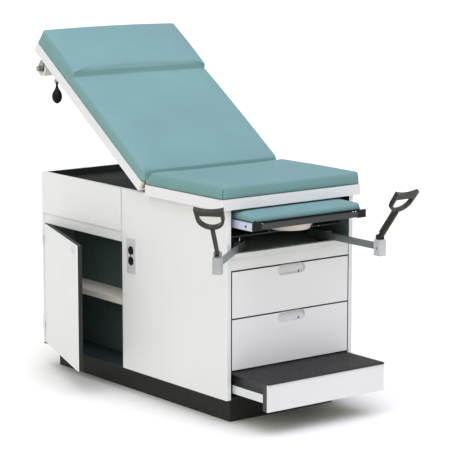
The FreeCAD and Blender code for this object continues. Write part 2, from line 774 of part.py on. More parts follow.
def make_release_handle():
    """Pear-shaped handle that hangs on the clevis pin."""
    handle = new_body("release_handle")
    neck, bottom = size("handle_neck"), -size("handle_length")
    start, waist, tip = (neck, -size("hinge_pin")), (neck, -size("handle_neck_length")), (neck, bottom)
    throat, shoulder, cheek, widest, belly = [
        (size(f"handle_{name}"), -size(f"handle_{name}_drop"))
        for name in ("throat", "shoulder", "cheek", "bulb", "belly")]
    sketch = sketch_on(handle, "XZ_Plane", [
        line((0, start[1]), start),
        line(start, waist),
        arc(waist, throat, shoulder),
        arc(shoulder, cheek, widest),
        arc(widest, belly, tip),
        line(tip, (0, bottom)),
        line((0, bottom), (0, start[1])),
    ])
    body = handle.newObject("PartDesign::Revolution", "Bulb")
    body.Profile = sketch
    body.ReferenceAxis = (sketch, ["V_Axis"])
    body.Angle = 360
    eye = symmetric("handle_eye_width / 2")
    rod(handle, "x", "handle_eye", (eye[0], "0", "0"), "handle_eye_width")
    for span in ((eye[1], "2 * handle_neck"), ("-2 * handle_neck", eye[0])):
        box(handle, span, symmetric("handle_eye"), ("-clevis_width * sqrt(0.5) - running_gap", "handle_eye"),
            cut=True)
    rod(handle, "x", "hinge_pin + pin_clearance", (eye[0], "0", "0"), "handle_eye_width", cut=True)
    place_at(handle, HANDLE_X, f"{HINGE_Y} + {HANDLE_Y} * cos(back_angle) - {HANDLE_Z} * sin(back_angle)",
             f"{HINGE_Z} + {HANDLE_Y} * sin(back_angle) + {HANDLE_Z} * cos(back_angle)")


def make_door():
    """Door with a white skin on a dark core, its pull and hinges, drawn shut and swung about its axis."""
    axis = f"vector(-{HALF} - door_axis_out; {HEAD_INNER}; 0)"
    width_y = ("door_gap - door_opening", "-door_gap")
    height = ("cabinet_base + door_gap", f"{DOOR_TOP} - door_gap")
    skin = new_body("door_skin")
    box(skin, ("door_axis_out", "door_axis_out + door_skin"), width_y, height)
    core = new_body("door_core")
    box(core, ("door_axis_out + door_skin", "door_axis_out + door_thick"), width_y, height)
    pull = new_body("door_pull")
    pull_y, pull_z = f"{width_y[0]} + door_pull_inset", f"{height[1]} - door_pull_drop"
    box(pull, ("door_axis_out - door_pull_thick", "door_axis_out"), (pull_y, f"{pull_y} + door_pull_width"),
        (f"{pull_z} - door_pull_height", pull_z))

    fixed, moving = [], []
    leaf_x = ("door_axis_out - door_leaf_thick", "door_axis_out")
    for level in ("(cabinet_base + door_hinge_low)", f"({DOOR_TOP} - door_hinge_high)"):
        leaf = new_body("fixed_leaf", keep=False)
        box(leaf, leaf_x, ("running_gap", "door_leaf_width"), (level, f"{level} + door_knuckle"))
        rod(leaf, "z", "hinge_barrel", ("0", "0", level), "door_knuckle")
        rod(leaf, "z", "hinge_pin", ("0", "0", level), "2 * door_knuckle")
        bind(leaf, "Placement", f"placement({axis}; rotation(0; 0; 0))")
        fixed.append(leaf)
        knuckle = new_body("door_leaf", keep=False)
        upper = f"{level} + door_knuckle + running_gap"
        box(knuckle, leaf_x, ("-door_leaf_width - door_gap", "0"), (upper, f"{upper} + door_knuckle"))
        rod(knuckle, "z", "hinge_barrel", ("0", "0", upper), "door_knuckle")
        rod(knuckle, "z", "hinge_pin + pin_clearance", ("0", "0", upper), "door_knuckle", cut=True)
        moving.append(knuckle)
    for piece in [skin, core, pull] + moving:
        bind(piece, "Placement", f"placement({axis}; rotation(-door_open; 0; 0))")
    group("door_hinge_fixed", fixed)
    group("door_hinge_moving", moving)


def channel(x, y, slot_x, runner_z, lip):
    """A slide channel on the cabinet, with a slot for a runner that opens towards the middle."""
    low, high = runner_z
    item = new_body("channel", keep=False)
    box(item, x, y, (f"{low} - {lip}", f"{high} + {lip}"))
    box(item, slot_x, y, (f"{low} - running_gap", f"{high} + running_gap"), cut=True)
    return item


def drawer_runner(low, high):
    """The heights of a drawer's runners."""
    return around(f"(({low} + {high}) / 2)", "runner_height")


def make_slide_channels():
    """The channels of the drawers, the step and the leg rest."""
    members = []
    lip = "((channel_height - runner_height) / 2)"
    rear = f"{FRONT_REAR} + channel_length"
    levels = [(FRONT_REAR, drawer_runner(*drawer)) for drawer in DRAWERS.values()]
    levels.append((f"{FOOT} + step_front_thick", (STEP_RUNNER, f"{STEP_RUNNER} + runner_height")))
    for side in SIDES.values():
        whole = sided(side, f"{INNER} - channel_depth", INNER)
        slot = sided(side, f"{INNER} - channel_depth", f"{INNER} - channel_web")
        for front, runner_z in levels:
            members.append(channel(whole, (f"{front} + channel_setback", rear), slot, runner_z, lip))
        rail_edge = f"{RAIL_INNER} + rail_channel_lip"
        members.append(channel(sided(side, rail_edge, INNER), (f"{FOOT} + rail_channel_setback", SEAT_REAR),
                               sided(side, rail_edge, f"{RAIL_OUTER} + rail_channel_lip"),
                               (RAIL_LOW, RAIL_HIGH), "rail_channel_flange"))
    group("slide_channels", members)


def make_drawer(name, low, high):
    """One drawer: front with a recessed pull, the pull's cup, open box and two runners."""
    front = new_body(f"{name}_drawer_front")
    box(front, symmetric(f"{INNER} - front_gap"), (FOOT, FRONT_REAR), (low, high))
    cup = new_body(f"{name}_drawer_pull")
    ends = around("pull_offset", "pull_width - pull_height")
    for body, cut, wall in ((front, True, "0"), (cup, False, "0"), (cup, True, "pull_wall")):
        depth = f"(pull_depth - {wall})"
        box(body, ends, (FOOT, f"{FOOT} + {depth}"), (f"{high} - pull_height + {wall}", f"{high} - {wall}"),
            cut=cut)
        for end in ends:
            rod(body, "y", f"pull_height / 2 - {wall}", (end, FOOT, f"{high} - pull_height / 2"), depth,
                cut=cut)

    carcass = new_body(f"{name}_drawer_box")
    box_y = (FRONT_REAR, f"{FRONT_REAR} + drawer_box_length")
    box_z = (f"{low} + drawer_box_low", f"{high} - drawer_box_high")
    box(carcass, symmetric(DRAWER_BOX), box_y, box_z)
    box(carcass, symmetric(f"{DRAWER_BOX} - drawer_wall"),
        (f"{box_y[0]} + drawer_wall", f"{box_y[1]} - drawer_wall"), (f"{box_z[0]} + drawer_wall", box_z[1]),
        cut=True)
    make_runners(f"{name}_drawer_runners", DRAWER_BOX, box_y, drawer_runner(low, high))


def make_runners(label, inner, y, z):
    """A pair of runners between a sliding box and its channels."""
    runners = []
    for side in SIDES.values():
        runner = new_body("runner", keep=False)
        box(runner, sided(side, inner, f"{INNER} - channel_web - running_gap"), y, z)
        runners.append(runner)
    group(label, runners)


def make_step():
    """Pull-out step: white front on a dark frame, ribbed tread and bright runners."""
    half = f"{INNER} - front_gap"
    full_height = (STEP_LOW, STEP_TOP)
    front = new_body("step_front")
    box(front, symmetric(half), (STEP_FRONT, f"{STEP_FRONT} + step_skin"), full_height)

    frame = new_body("step_frame")
    frame_end = f"{STEP_REAR} + step_box_length"
    box_low = f"{STEP_LOW} + step_box_rise"
    box(frame, symmetric(half), (f"{STEP_FRONT} + step_skin", STEP_REAR), full_height)
    box(frame, symmetric(STEP_BOX), (STEP_REAR, frame_end), (box_low, STEP_TOP))
    box(frame, symmetric(f"{STEP_BOX} - step_wall"), (STEP_REAR, f"{frame_end} - step_wall"),
        (box_low, f"{STEP_TOP} - step_wall"), cut=True)

    tread = new_body("step_tread")
    nose = f"{STEP_FRONT} - tread_nose"
    tread_top = f"{STEP_TOP} + tread_thick"
    groove = f"{tread_top} - tread_rib_height"
    box(tread, symmetric(half), (nose, frame_end), (STEP_TOP, groove))
    rib_y = f"{nose} + tread_rib_pitch / 2"
    rib = box(tread, symmetric(half), (rib_y, f"{rib_y} + tread_rib_width"), (STEP_TOP, tread_top))
    doc.recompute()
    ribs = tread.newObject("PartDesign::LinearPattern", "Ribs")
    ribs.Originals = [rib]
    ribs.Direction = ([item for item in tread.Origin.OriginFeatures if item.Role == "Y_Axis"][0], [""])
    tread_length = size("tread_nose") + size("step_front_thick") + size("step_box_length")
    ribs.Occurrences = int(tread_length / size("tread_rib_pitch"))
    bind(ribs, "Length", f"tread_rib_pitch * {ribs.Occurrences - 1}")
    tread.Tip = ribs

    make_runners("step_runners", STEP_BOX, (STEP_REAR, f"{STEP_REAR} + step_runner_length"),
                 (STEP_RUNNER, f"{STEP_RUNNER} + runner_height"))


def make_leg_rest():
    """Pull-out leg rest: rails in the channels, end blocks, front bar, board with a front lip, and pad."""
    bar = new_body("leg_rest_bar")
    bar_rear = f"{LEG_FRONT} + leg_bar_thick"
    bar_top = f"{LEG_TOP} - leg_bar_drop"
    bar_low = f"{bar_top} - leg_bar_height"
    box(bar, symmetric(LEG_BAR), (LEG_FRONT, bar_rear), (bar_low, bar_top))

    board = new_body("leg_rest_board")
    board_rear = f"{bar_rear} + leg_board_length"
    box(board, symmetric(RAIL_INNER), (bar_rear, board_rear), (RAIL_HIGH, BOARD_TOP))
    box(board, symmetric(RAIL_INNER), (bar_rear, f"{bar_rear} + leg_board_flange"), (bar_low, BOARD_TOP))

    blocks, rails = [], []
    for side in SIDES.values():
        block = new_body("corner_block", keep=False)
        box(block, sided(side, LEG_BAR, f"{INNER} - leg_block_side_room"), (LEG_FRONT, RAIL_START),
            (f"{LEG_TOP} - leg_block_height", LEG_TOP))
        blocks.append(block)
        rail = new_body("rail", keep=False)
        box(rail, sided(side, RAIL_INNER, RAIL_OUTER), (RAIL_START, f"{RAIL_START} + rail_length"),
            (RAIL_LOW, RAIL_HIGH))
        rails.append(rail)
        box(board, sided(side, f"{RAIL_INNER} - leg_board_flange", RAIL_INNER), (bar_rear, board_rear),
            (f"{RAIL_HIGH} - leg_board_drop", BOARD_TOP))
    group("leg_rest_blocks", blocks)
    group("leg_rest_rails", rails)

    start, finish = size("cushion_inset"), size("cushion_inset") + size("leg_pad_length")
    thick = size("leg_pad_thick")
    stations = rolled_end(start, 1, thick) + rolled_end(finish, -1, thick)[::-1]
    half = size("cabinet_width") / 2 - size("panel_thick") - size("leg_pad_side_room")
    pad = soft_piece("leg_rest_pad", stations, half)
    place_at(pad, "0", bar_rear, f"{BOARD_TOP} + soft_gap")


def basin_outline(half, front, rear, level):
    """Outline of the treatment pan at one height: round at the front, square at the rear."""
    turn, slant = front + half, half * DIAGONAL

    def at(x, y):
        return Vector(x, y, level)

    return Part.Wire([
        Part.LineSegment(at(half, turn), at(half, rear)).toShape(),
        Part.LineSegment(at(half, rear), at(-half, rear)).toShape(),
        Part.LineSegment(at(-half, rear), at(-half, turn)).toShape(),
        Part.Arc(at(-half, turn), at(-slant, turn - slant), at(0, front)).toShape(),
        Part.Arc(at(0, front), at(slant, turn - slant), at(half, turn)).toShape(),
    ])


def make_treatment_pan():
    """Treatment pan that hangs by its rim on two ribs of its shelf."""
    half, length, depth = size("basin_half"), size("basin_length"), size("basin_depth")
    wall, taper, lip = size("basin_wall"), size("basin_taper"), size("basin_rim")

    def tub(inset, bottom):
        foot = taper + inset
        return Part.makeLoft([basin_outline(half - foot, foot, length - foot, bottom),
                              basin_outline(half - inset, inset, length - inset, 0)], True, True)

    rim = Part.Face(basin_outline(half + lip, -lip, length + lip, -wall)).extrude(Vector(0, 0, wall))
    basin = doc.addObject("Part::Feature", "treatment_pan")
    basin.Label = "treatment_pan"
    basin.Shape = tub(0, -depth).fuse(rim).cut(tub(wall, wall - depth)).removeSplitter()
    place_at(basin, "basin_shift", f"{FOOT} - basin_out", BASIN_TOP)
    pieces.append(basin)

    shelf = new_body("treatment_pan_shelf")
    shelf_start = f"{FOOT} + basin_shelf_setback"
    shelf_y = (shelf_start, f"{shelf_start} + basin_shelf_length")
    box(shelf, symmetric(INNER), shelf_y, (f"{BASIN_SHELF} - basin_shelf_thick", BASIN_SHELF))
    rib_inner = "basin_half + basin_rib_gap"
    for side in SIDES.values():
        low, high = sided(side, rib_inner, f"{rib_inner} + basin_rib")
        box(shelf, (f"basin_shift + {low}", f"basin_shift + {high}"), shelf_y,
            (BASIN_SHELF, f"{BASIN_TOP} - basin_wall - running_gap"))


def make_stirrup_pivots():
    """Flanged pivots of the stirrups on the bay floor."""
    pivots = []
    for side in SIDES.values():
        pivot = new_body("pivot", keep=False)
        place = (f"{side} * {STIRRUP_X}", STIRRUP_Y, BAY_FLOOR)
        rod(pivot, "z", "pivot_flange", place, "pivot_flange_thick")
        rod(pivot, "z", "pivot_radius", place, f"{ARM_LOW} - {BAY_FLOOR} - 2 * running_gap")
        pivots.append(pivot)
    group("stirrup_pivots", pivots)


def make_stirrup(name, side):
    """One stirrup, drawn straight out along -Y from its pivot and swung to the side: swivel guide, sliding
    arm, end block with ears, and the foot piece that leans outwards."""
    swivel = new_body(f"{name}_stirrup_swivel")
    guide_y = ("-guide_front", "guide_rear")
    swivel_low = f"({BAY_FLOOR} + pivot_flange_thick + running_gap)"
    slot = (f"{ARM_LOW} - running_gap", f"{ARM_HIGH} + running_gap")
    box(swivel, symmetric("guide_half"), guide_y, (swivel_low, f"{ARM_HIGH} + guide_top"))
    box(swivel, symmetric("arm_half + running_gap"), guide_y, slot, cut=True)
    rod(swivel, "z", "pivot_radius + pin_clearance", ("0", "0", swivel_low), f"{slot[0]} - {swivel_low}",
        cut=True)

    arm = new_body(f"{name}_stirrup_arm")
    reach = f"(arm_reach + {name}_out)"
    box(arm, symmetric("arm_half"), (f"-{reach}", f"arm_tail - {name}_out"), (ARM_LOW, ARM_HIGH))

    block = new_body(f"{name}_stirrup_block")
    block_z = (f"({ARM_LOW} - block_below)", f"({ARM_HIGH} + block_above)")
    middle = f"(-{reach} - block_length / 2)"
    slab = box(block, symmetric("block_half"), around(middle, "block_length"), block_z)
    round_uprights(block, slab, "block_round")
    axis_z = f"({block_z[1]} + foot_axis_rise)"
    ear_inner = "(foot_eye_half + running_gap)"
    ear_outer = f"({ear_inner} + ear_thick)"
    for side_of_eye in SIDES.values():
        ear = sided(side_of_eye, ear_inner, ear_outer)
        box(block, ear, around(middle, "2 * ear_half"), (f"{block_z[1]} - block_round", axis_z))
        rod(block, "x", "ear_half", (ear[0], middle, axis_z), "ear_thick")
    rod(block, "x", "foot_pin", (f"-{ear_outer}", middle, axis_z), f"2 * {ear_outer}")
    bolt = ("-block_half", middle, f"({block_z[0]} + {block_z[1]}) / 2")
    rod(block, "x", "bolt_radius", bolt, "bolt_depth", cut=True)

    foot = new_body(f"{name}_stirrup_foot")
    make_foot_loop(foot)
    stem_low = "ear_half + stem_clear"
    box(foot, symmetric("stem_half"), symmetric("stem_thick / 2"), (stem_low, "stem_length"))
    box(foot, symmetric("foot_eye_half"), symmetric("stem_root_thick / 2"), ("0", stem_low))
    rod(foot, "x", "foot_eye", ("-foot_eye_half", "0", "0"), "2 * foot_eye_half")
    rod(foot, "x", "foot_pin + pin_clearance", ("-foot_eye_half", "0", "0"), "2 * foot_eye_half", cut=True)

    pivot = f"vector({side} * {STIRRUP_X}; {STIRRUP_Y}; 0)"
    swung = f"placement({pivot}; rotation({side} * {name}_swing; 0; 0))"
    for piece in (swivel, arm, block):
        bind(piece, "Placement", swung)
    bind(foot, "Placement", f"{swung} * placement(vector(0; {middle}; {axis_z}); rotation(0; 0; foot_lean))")


def make_foot_loop(foot):
    """The foot loop: round below, flared to two horns, with a sagging heel strap and a window under it."""
    half, horn, hole = size("loop_half"), size("loop_horn_half"), size("window_half")
    top, window_top = size("loop_top"), size("window_top")
    shoulder = size("loop_base") + half
    window_shoulder = size("window_base") + hole
    sketch = sketch_on(foot, "XZ_Plane", lower_half(half, shoulder) + lower_half(hole, window_shoulder) + [
        line((half, shoulder), (horn, top)),
        arc((horn, top), (0, top - size("loop_sag")), (-horn, top)),
        line((-horn, top), (-half, shoulder)),
        line((hole, window_shoulder), (hole, window_top)),
        line((hole, window_top), (-hole, window_top)),
        line((-hole, window_top), (-hole, window_shoulder)),
    ])
    loop = foot.newObject("PartDesign::Pad", "Loop")
    loop.Profile = sketch
    loop.SideType = "Symmetric"
    bind(loop, "Length", "loop_thick")


def check_and_write():
    """Checks every object and piece, then writes one file per piece."""
    doc.recompute()
    failed = [item.Name for item in doc.Objects if {"Invalid", "Error"} & set(item.State)]
    broken = [item.Label for item in pieces
              if item.Shape.isNull() or not item.Shape.isValid() or not item.Shape.Solids]
    if failed or broken:
        raise RuntimeError(f"failed objects {failed}, broken pieces {broken}")
    os.makedirs("parts", exist_ok=True)
    for item in pieces:
        item.Shape.exportStep(f"parts/{item.Label}.step")
    print(len(pieces), "pieces written")


make_shell()
make_inner_walls()
make_outlet()
make_seat()
make_back()
make_back_hinges()
make_paper_roll()
make_release_handle()
make_door()
make_slide_channels()
for drawer, (drawer_low, drawer_high) in DRAWERS.items():
    make_drawer(drawer, drawer_low, drawer_high)
make_step()
make_leg_rest()
make_treatment_pan()
make_stirrup_pivots()
for stirrup, direction in SIDES.items():
    make_stirrup(stirrup, direction)
check_and_write()
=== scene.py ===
"""Looks of the examination table: its finishes, padded cushions, small fittings and a studio stage."""
import json
import math
from typing import NamedTuple

import bmesh
import bpy
from bpy.props import FloatProperty, FloatVectorProperty, IntProperty, PointerProperty
from mathutils import Matrix, Vector


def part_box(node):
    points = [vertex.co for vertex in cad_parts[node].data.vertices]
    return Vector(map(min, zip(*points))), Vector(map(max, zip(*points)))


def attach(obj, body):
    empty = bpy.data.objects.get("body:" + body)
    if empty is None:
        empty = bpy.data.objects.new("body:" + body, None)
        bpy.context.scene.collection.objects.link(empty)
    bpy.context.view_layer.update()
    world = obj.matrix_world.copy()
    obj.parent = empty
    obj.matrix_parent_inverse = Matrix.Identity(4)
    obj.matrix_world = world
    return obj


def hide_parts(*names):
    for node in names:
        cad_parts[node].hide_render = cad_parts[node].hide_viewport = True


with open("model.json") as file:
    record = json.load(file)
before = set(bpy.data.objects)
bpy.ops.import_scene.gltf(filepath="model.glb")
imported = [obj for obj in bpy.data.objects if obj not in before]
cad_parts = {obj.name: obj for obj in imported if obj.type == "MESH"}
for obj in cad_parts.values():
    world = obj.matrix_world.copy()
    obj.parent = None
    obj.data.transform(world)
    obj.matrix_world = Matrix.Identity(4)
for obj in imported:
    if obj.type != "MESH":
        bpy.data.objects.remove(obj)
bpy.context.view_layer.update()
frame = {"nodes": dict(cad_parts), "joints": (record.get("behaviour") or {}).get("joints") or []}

bl_info = {
    "name": "Examination Table",
    "version": (1, 0, 0),
    "blender": (4, 5, 0),
    "location": "View3D > Sidebar > Exam Table",
    "description": "Dresses a clinic examination table with its cushions, finishes and small fittings",
    "category": "Object",
}

NODES = frame["nodes"]
TINY = 1e-5
MM = 0.001

# Directions that a fitting can face, as the turn that takes +Z there.
FACING = {
    "near": Matrix.Rotation(-math.pi / 2, 4, "Y"),
    "foot": Matrix.Rotation(math.pi / 2, 4, "X"),
    "up": Matrix.Identity(4),
}


def middle(node):
    """Centre of a node's box at rest."""
    low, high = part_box(node)
    return (low + high) / 2


def pivot_of(joint):
    """A point on a joint's axis."""
    return Vector(next(j for j in frame["joints"] if j["name"] == joint)["pos_m"])


def colour(name, description, rgb):
    """A colour that a user may change."""
    return FloatVectorProperty(name=name, description=description, subtype="COLOR", size=3, min=0.0, max=1.0,
                               default=rgb)


def length(name, description, metres):
    """A length that a user may change."""
    return FloatProperty(name=name, description=description, unit="LENGTH", subtype="DISTANCE", precision=4,
                         default=metres)


def amount(name, description, value):
    """A strength or ratio that a user may change."""
    return FloatProperty(name=name, description=description, min=0.0, default=value)


def angle(name, description, degrees):
    """An angle that a user may change."""
    return FloatProperty(name=name, description=description, subtype="ANGLE", default=math.radians(degrees))


def heading(name, description, aim):
    """A direction that a user may change."""
    return FloatVectorProperty(name=name, description=description, subtype="DIRECTION", size=3, default=aim)


class TableColours(bpy.types.PropertyGroup):
    """Colours of the finishes"""
    vinyl: colour("Vinyl", "Teal vinyl of the seat and the leg rest", (0.183, 0.339, 0.309))
    # Painted light: the back's vinyl is a paler copy of the seat's, for the stronger light that falls on the
    # tilted back.
    back_vinyl: colour("Back vinyl", "Teal vinyl of the back, a little paler", (0.199, 0.362, 0.331))
    thread: colour("Thread", "Thread and shadow of the corner seams", (0.03, 0.09, 0.08))
    enamel: colour("White enamel", "Enamel of the cabinet, pans, door and fronts", (0.785, 0.80, 0.75))
    inside: colour("Inside", "Dark paint on the inner faces of the cabinet", (0.135, 0.185, 0.170))
    board: colour("Dark board", "Liner boards of the cupboard", (0.086, 0.127, 0.119))
    # Painted light: the bay's floor is far paler than the bay's dark paint, for the fill light inside the
    # bay.
    bay: colour("Bay", "Floor of the stirrup bay", (0.44, 0.53, 0.49))
    # Painted shade: the guides, channels and pan's shelf take a dark paint in place of their bright metal,
    # for the deep shade inside the bay.
    guide: colour("Guides", "Stirrup guides, channels and the pan's shelf", (0.060, 0.079, 0.072))
    deck: colour("Deck", "Deck under the back", (0.015, 0.020, 0.018))
    base: colour("Base", "Plinth and the door's core", (0.023, 0.0235, 0.0205))
    dark_enamel: colour("Dark enamel", "Leg rest bar and step frame", (0.030, 0.035, 0.032))
    chrome: colour("Chrome", "Screws and rivets", (0.80, 0.80, 0.81))
    smoked: colour("Smoked chrome", "Brackets and spindle of the paper roll", (0.30, 0.31, 0.31))
    steel: colour("Bright steel", "Runners, door pull and outlet plate", (0.69, 0.71, 0.68))
    rail: colour("Rail steel", "Plated rails of the leg rest", (0.62, 0.66, 0.74))
    arm: colour("Arm steel", "Sliding arms of the stirrups", (0.225, 0.255, 0.245))
    aluminium: colour("Cast aluminium", "End blocks of the stirrups", (0.55, 0.575, 0.55))
    brass: colour("Brass", "Hinges of the back", (0.55, 0.36, 0.17))
    tread: colour("Tread rubber", "Ribbed tread of the step", (0.030, 0.031, 0.028))
    foot: colour("Stirrup foot", "Moulded foot loops", (0.037, 0.038, 0.028))
    # This colour also paints the shade on the drawer fronts' edges.
    black: colour("Black plastic", "Handle, corner blocks and receptacles", (0.012, 0.012, 0.012))
    pull: colour("Pull plastic", "Cups of the drawer pulls", (0.655, 0.67, 0.64))
    cream: colour("Cream enamel", "Cupboard shelf", (0.83, 0.82, 0.65))
    basin: colour("Basin plastic", "Treatment pan", (0.86, 0.77, 0.68))
    # Painted shade: the drawer boxes are near black, standing in for the dark gaps round the drawer fronts.
    tray: colour("Drawer plastic", "Boxes of the drawers", (0.085, 0.090, 0.086))
    paper: colour("Paper", "Paper roll", (0.84, 0.80, 0.72))


class TablePads(bpy.types.PropertyGroup):
    """Sizes of the cushions"""
    thick: length("Seat thickness", "Seat cushion at its edges", 0.047)
    back_thick: length("Back thickness", "Back cushion at its edges, under the pillow", 0.042)
    leg_thick: length("Leg pad thickness", "Pad of the leg rest at its edges", 0.025)
    leg_skirt: length("Leg pad skirt", "How far the leg pad's cover reaches down over its board", 0.0085)
    leg_lap: length("Leg pad lap", "How far the leg pad's cover stands out past its board", 0.008)
    roll: length("Edge roll", "Radius of the rolled edges", 0.013)
    leg_roll: length("Leg pad roll", "Radius of the leg pad's edges", 0.012)
    leg_corner: length("Leg pad corner", "Radius of the leg pad's corners in plan", 0.022)
    draw_in: length("Draw in", "How far a cushion's sides lean in at the top", 0.006)
    grid: length("Mesh step", "Spacing of the rows of a cushion's mesh", 0.010)
    fine_grid: length("Fine step", "Spacing of the rows near a crease", 0.003)
    swell: length("Swell", "Most that the stuffing pushes the cover out", 0.007)
    leg_swell: length("Leg pad swell", "Most that the stuffing pushes the leg pad's cover out", 0.003)
    bow: length("Bow", "Rise of a cushion's edges between its ends and creases", 0.003)
    arch: length("Arch", "Rise of the head pillow's middle over its corners", 0.006)
    wedge: length("Wedge", "Rise of the pillow's head end over its start", 0.004)
    pressure: amount("Pressure", "Pressure of the stuffing", 4.0)
    frames: IntProperty(name="Frames", description="Frames that the stuffing takes to settle", min=2,
                        default=20)
    slope: amount("Crotch slope", "Run over rise of the cushion ends at the back's hinge", 0.85)
    slope_low: length("Slope start", "Height at which those ends start to slope", 0.0107)
    crease: length("Pillow crease", "Distance of the sewn crease from the back's lower end", 0.578)
    crease_depth: length("Crease depth", "Depth of the crease under the back cushion", 0.006)
    crease_foot: length("Crease foot side", "Run of the cushion's shoulder before the crease", 0.012)
    crease_head: length("Crease head side", "Run of the pillow's lower face after the crease", 0.010)
    pillow: length("Pillow rise", "Height of the head pillow over the back cushion", 0.016)
    seam_depth: length("Seam depth", "Depth of the upright corner seams", 0.003)
    seam_half: length("Seam half width", "Half width of the corner seams", 0.005)
    thread: length("Thread", "Radius of the thread in the corner seams", 0.0020)


class TableTrim(bpy.types.PropertyGroup):
    """Sizes of the small fittings"""
    screw: length("Screw radius", "Heads of the visible screws", 0.0034)
    plug: length("Plug radius", "Plug in the near side panel", 0.0075)
    receptacle: length("Receptacle", "Half height of one receptacle's face", 0.01425)
    blade: length("Blade height", "Height of a receptacle's slots", 0.0075)
    blade_width: length("Blade width", "Width of a receptacle's slots", 0.0018)
    blade_gap: length("Blade gap", "Distance of a receptacle's slots from its middle", 0.00635)
    blade_rise: length("Blade rise", "Height of the slots over a receptacle's middle", 0.003)
    earth: length("Earth hole", "Radius of a receptacle's round hole", 0.0024)
    earth_drop: length("Earth drop", "Distance of the round hole under a receptacle's middle", 0.0075)
    notch: length("Notch", "Height of the finger catch in a drawer pull", 0.008)
    notch_width: length("Notch width", "Width of the finger catch", 0.0045)
    notch_depth: length("Notch depth", "How far the finger catch stands out", 0.0018)
    pivot_pin: length("Pivot pin", "Radius of the near guide's upright pin", 0.0013)
    pin_height: length("Pin height", "Height of the near guide's upright pin", 0.015)
    rail_hole: length("Rail hole", "Side of the square hole in the near rail", 0.009)
    rivet: length("Rivet", "Radius of the rivet in the pan's shelf", 0.0019)
    set_screw_rise: length("Set screw", "Height of the far end block's screw over its underside", 0.026)


class TableStage(bpy.types.PropertyGroup):
    """Camera and light"""
    eye: FloatVectorProperty(name="Camera", description="Place of the camera", subtype="XYZ", unit="LENGTH",
                             size=3, default=(-4.69896, -6.33735, 1.96551))
    pitch: angle("Pitch", "Tilt of the camera from straight down", 80.3345)
    yaw: angle("Yaw", "Turn of the camera about the upright axis", -37.4875)
    lens: FloatProperty(name="Lens", description="Focal length in millimetres on a 36 mm sensor",
                        default=166.729)
    key: amount("Key light", "Strength of the soft key light", 1.12)
    key_aim: heading("Key aim", "Direction from the object to the key light", (-0.58, -0.36, 0.73))
    top: amount("Top light", "Strength of the cool light from above", 2.1)
    top_aim: heading("Top aim", "Direction from the object to the top light", (-0.05, -0.30, 0.95))
    top_tint: colour("Top tint", "Colour of the light from above", (0.70, 0.60, 1.0))
    light_spread: angle("Light spread", "Angle of the discs of the key and top lights", 65)
    fill: amount("Fill light", "Strength of the light from all round", 0.54)
    fill_tint: colour("Fill tint", "Colour of the light from all round", (1.0, 1.0, 0.95))
    floor: colour("Floor", "Pale floor", (0.75, 0.78, 0.68))
    lift: amount("Floor lift", "Glow that takes the open floor to white", 0.25)
    reach: length("Floor reach", "Half size of the floor", 90.0)
    contact: length("Contact shadow", "Reach of the darkening under the table", 0.5)


# Node helpers

def add(tree, kind, inputs=None, **settings):
    """A new node, with its settings, and its inputs as values or links."""
    node = tree.nodes.new(kind)
    for name, value in settings.items():
        setattr(node, name, value)
    for name, value in (inputs or {}).items():
        if isinstance(value, bpy.types.NodeSocket):
            tree.links.new(value, node.inputs[name])
        else:
            node.inputs[name].default_value = value
    return node


def surface_point(tree, stretch=(1, 1, 1), shift=(0, 0, 0)):
    """Place on the piece in metres, stretched for streaks or shifted to centre a pattern."""
    place = add(tree, "ShaderNodeTexCoord").outputs["Object"]
    inputs = {"Vector": place, "Scale": stretch, "Location": shift}
    return add(tree, "ShaderNodeMapping", inputs).outputs["Vector"]


def reckon(tree, operation, first, second, **settings):
    """A number worked out from two others."""
    return add(tree, "ShaderNodeMath", {0: first, 1: second}, operation=operation, **settings).outputs[0]


def clouds(tree, point, cells, detail=2.0, rough=0.5):
    """Soft noise, with a number of cells per metre."""
    inputs = {"Vector": point, "Scale": cells, "Detail": detail, "Roughness": rough}
    return add(tree, "ShaderNodeTexNoise", inputs).outputs["Fac"]


# Span that most values of a noise fall in.
NOISE_SPAN = (0.3, 0.7)


def spread(tree, value, low, high, span=NOISE_SPAN):
    """Maps a value, as it runs through a span, onto a range."""
    inputs = {"Value": value, "From Min": span[0], "From Max": span[1], "To Min": low, "To Max": high}
    return add(tree, "ShaderNodeMapRange", inputs).outputs["Result"]


def dimmed(rgb, factor):
    """A colour made darker or lighter."""
    return tuple(min(1.0, part * factor) for part in rgb)


def tones(tree, value, rgb, low, high):
    """Shades of a colour between two shares of its brightness, chosen by a noise value."""
    ramp = add(tree, "ShaderNodeValToRGB", {"Fac": value})
    for stop, place, factor in zip(ramp.color_ramp.elements, NOISE_SPAN, (low, high)):
        stop.position = place
        stop.color = (*dimmed(rgb, factor), 1)
    return ramp.outputs["Color"]


# Sockets by which a Mix node mixes colours.
MIX_FACTOR = 0
MIX_UNDER = 6
MIX_OVER = 7
MIX_RESULT = 2


def overlay(tree, factor, under, over):
    """Lays a second colour over a first, where the factor says."""
    inputs = {MIX_FACTOR: factor}
    for socket, rgb in ((MIX_UNDER, under), (MIX_OVER, over)):
        inputs[socket] = rgb if isinstance(rgb, bpy.types.NodeSocket) else (*rgb, 1)
    return add(tree, "ShaderNodeMix", inputs, data_type="RGBA").outputs[MIX_RESULT]


def relief(tree, height, depth, strength, under=None):
    """A bump of the given depth in metres, over another one if given."""
    inputs = {"Height": height, "Distance": depth, "Strength": strength}
    if under is not None:
        inputs["Normal"] = under
    return add(tree, "ShaderNodeBump", inputs).outputs["Normal"]


def new_finish(name, **sockets):
    """A material with one principled shader whose plain values are set on its sockets."""
    finish = bpy.data.materials.new(name)
    finish.use_nodes = True
    shader = finish.node_tree.nodes["Principled BSDF"]
    for socket, value in sockets.items():
        shader.inputs[socket.replace("_", " ")].default_value = value
    return finish, finish.node_tree, shader


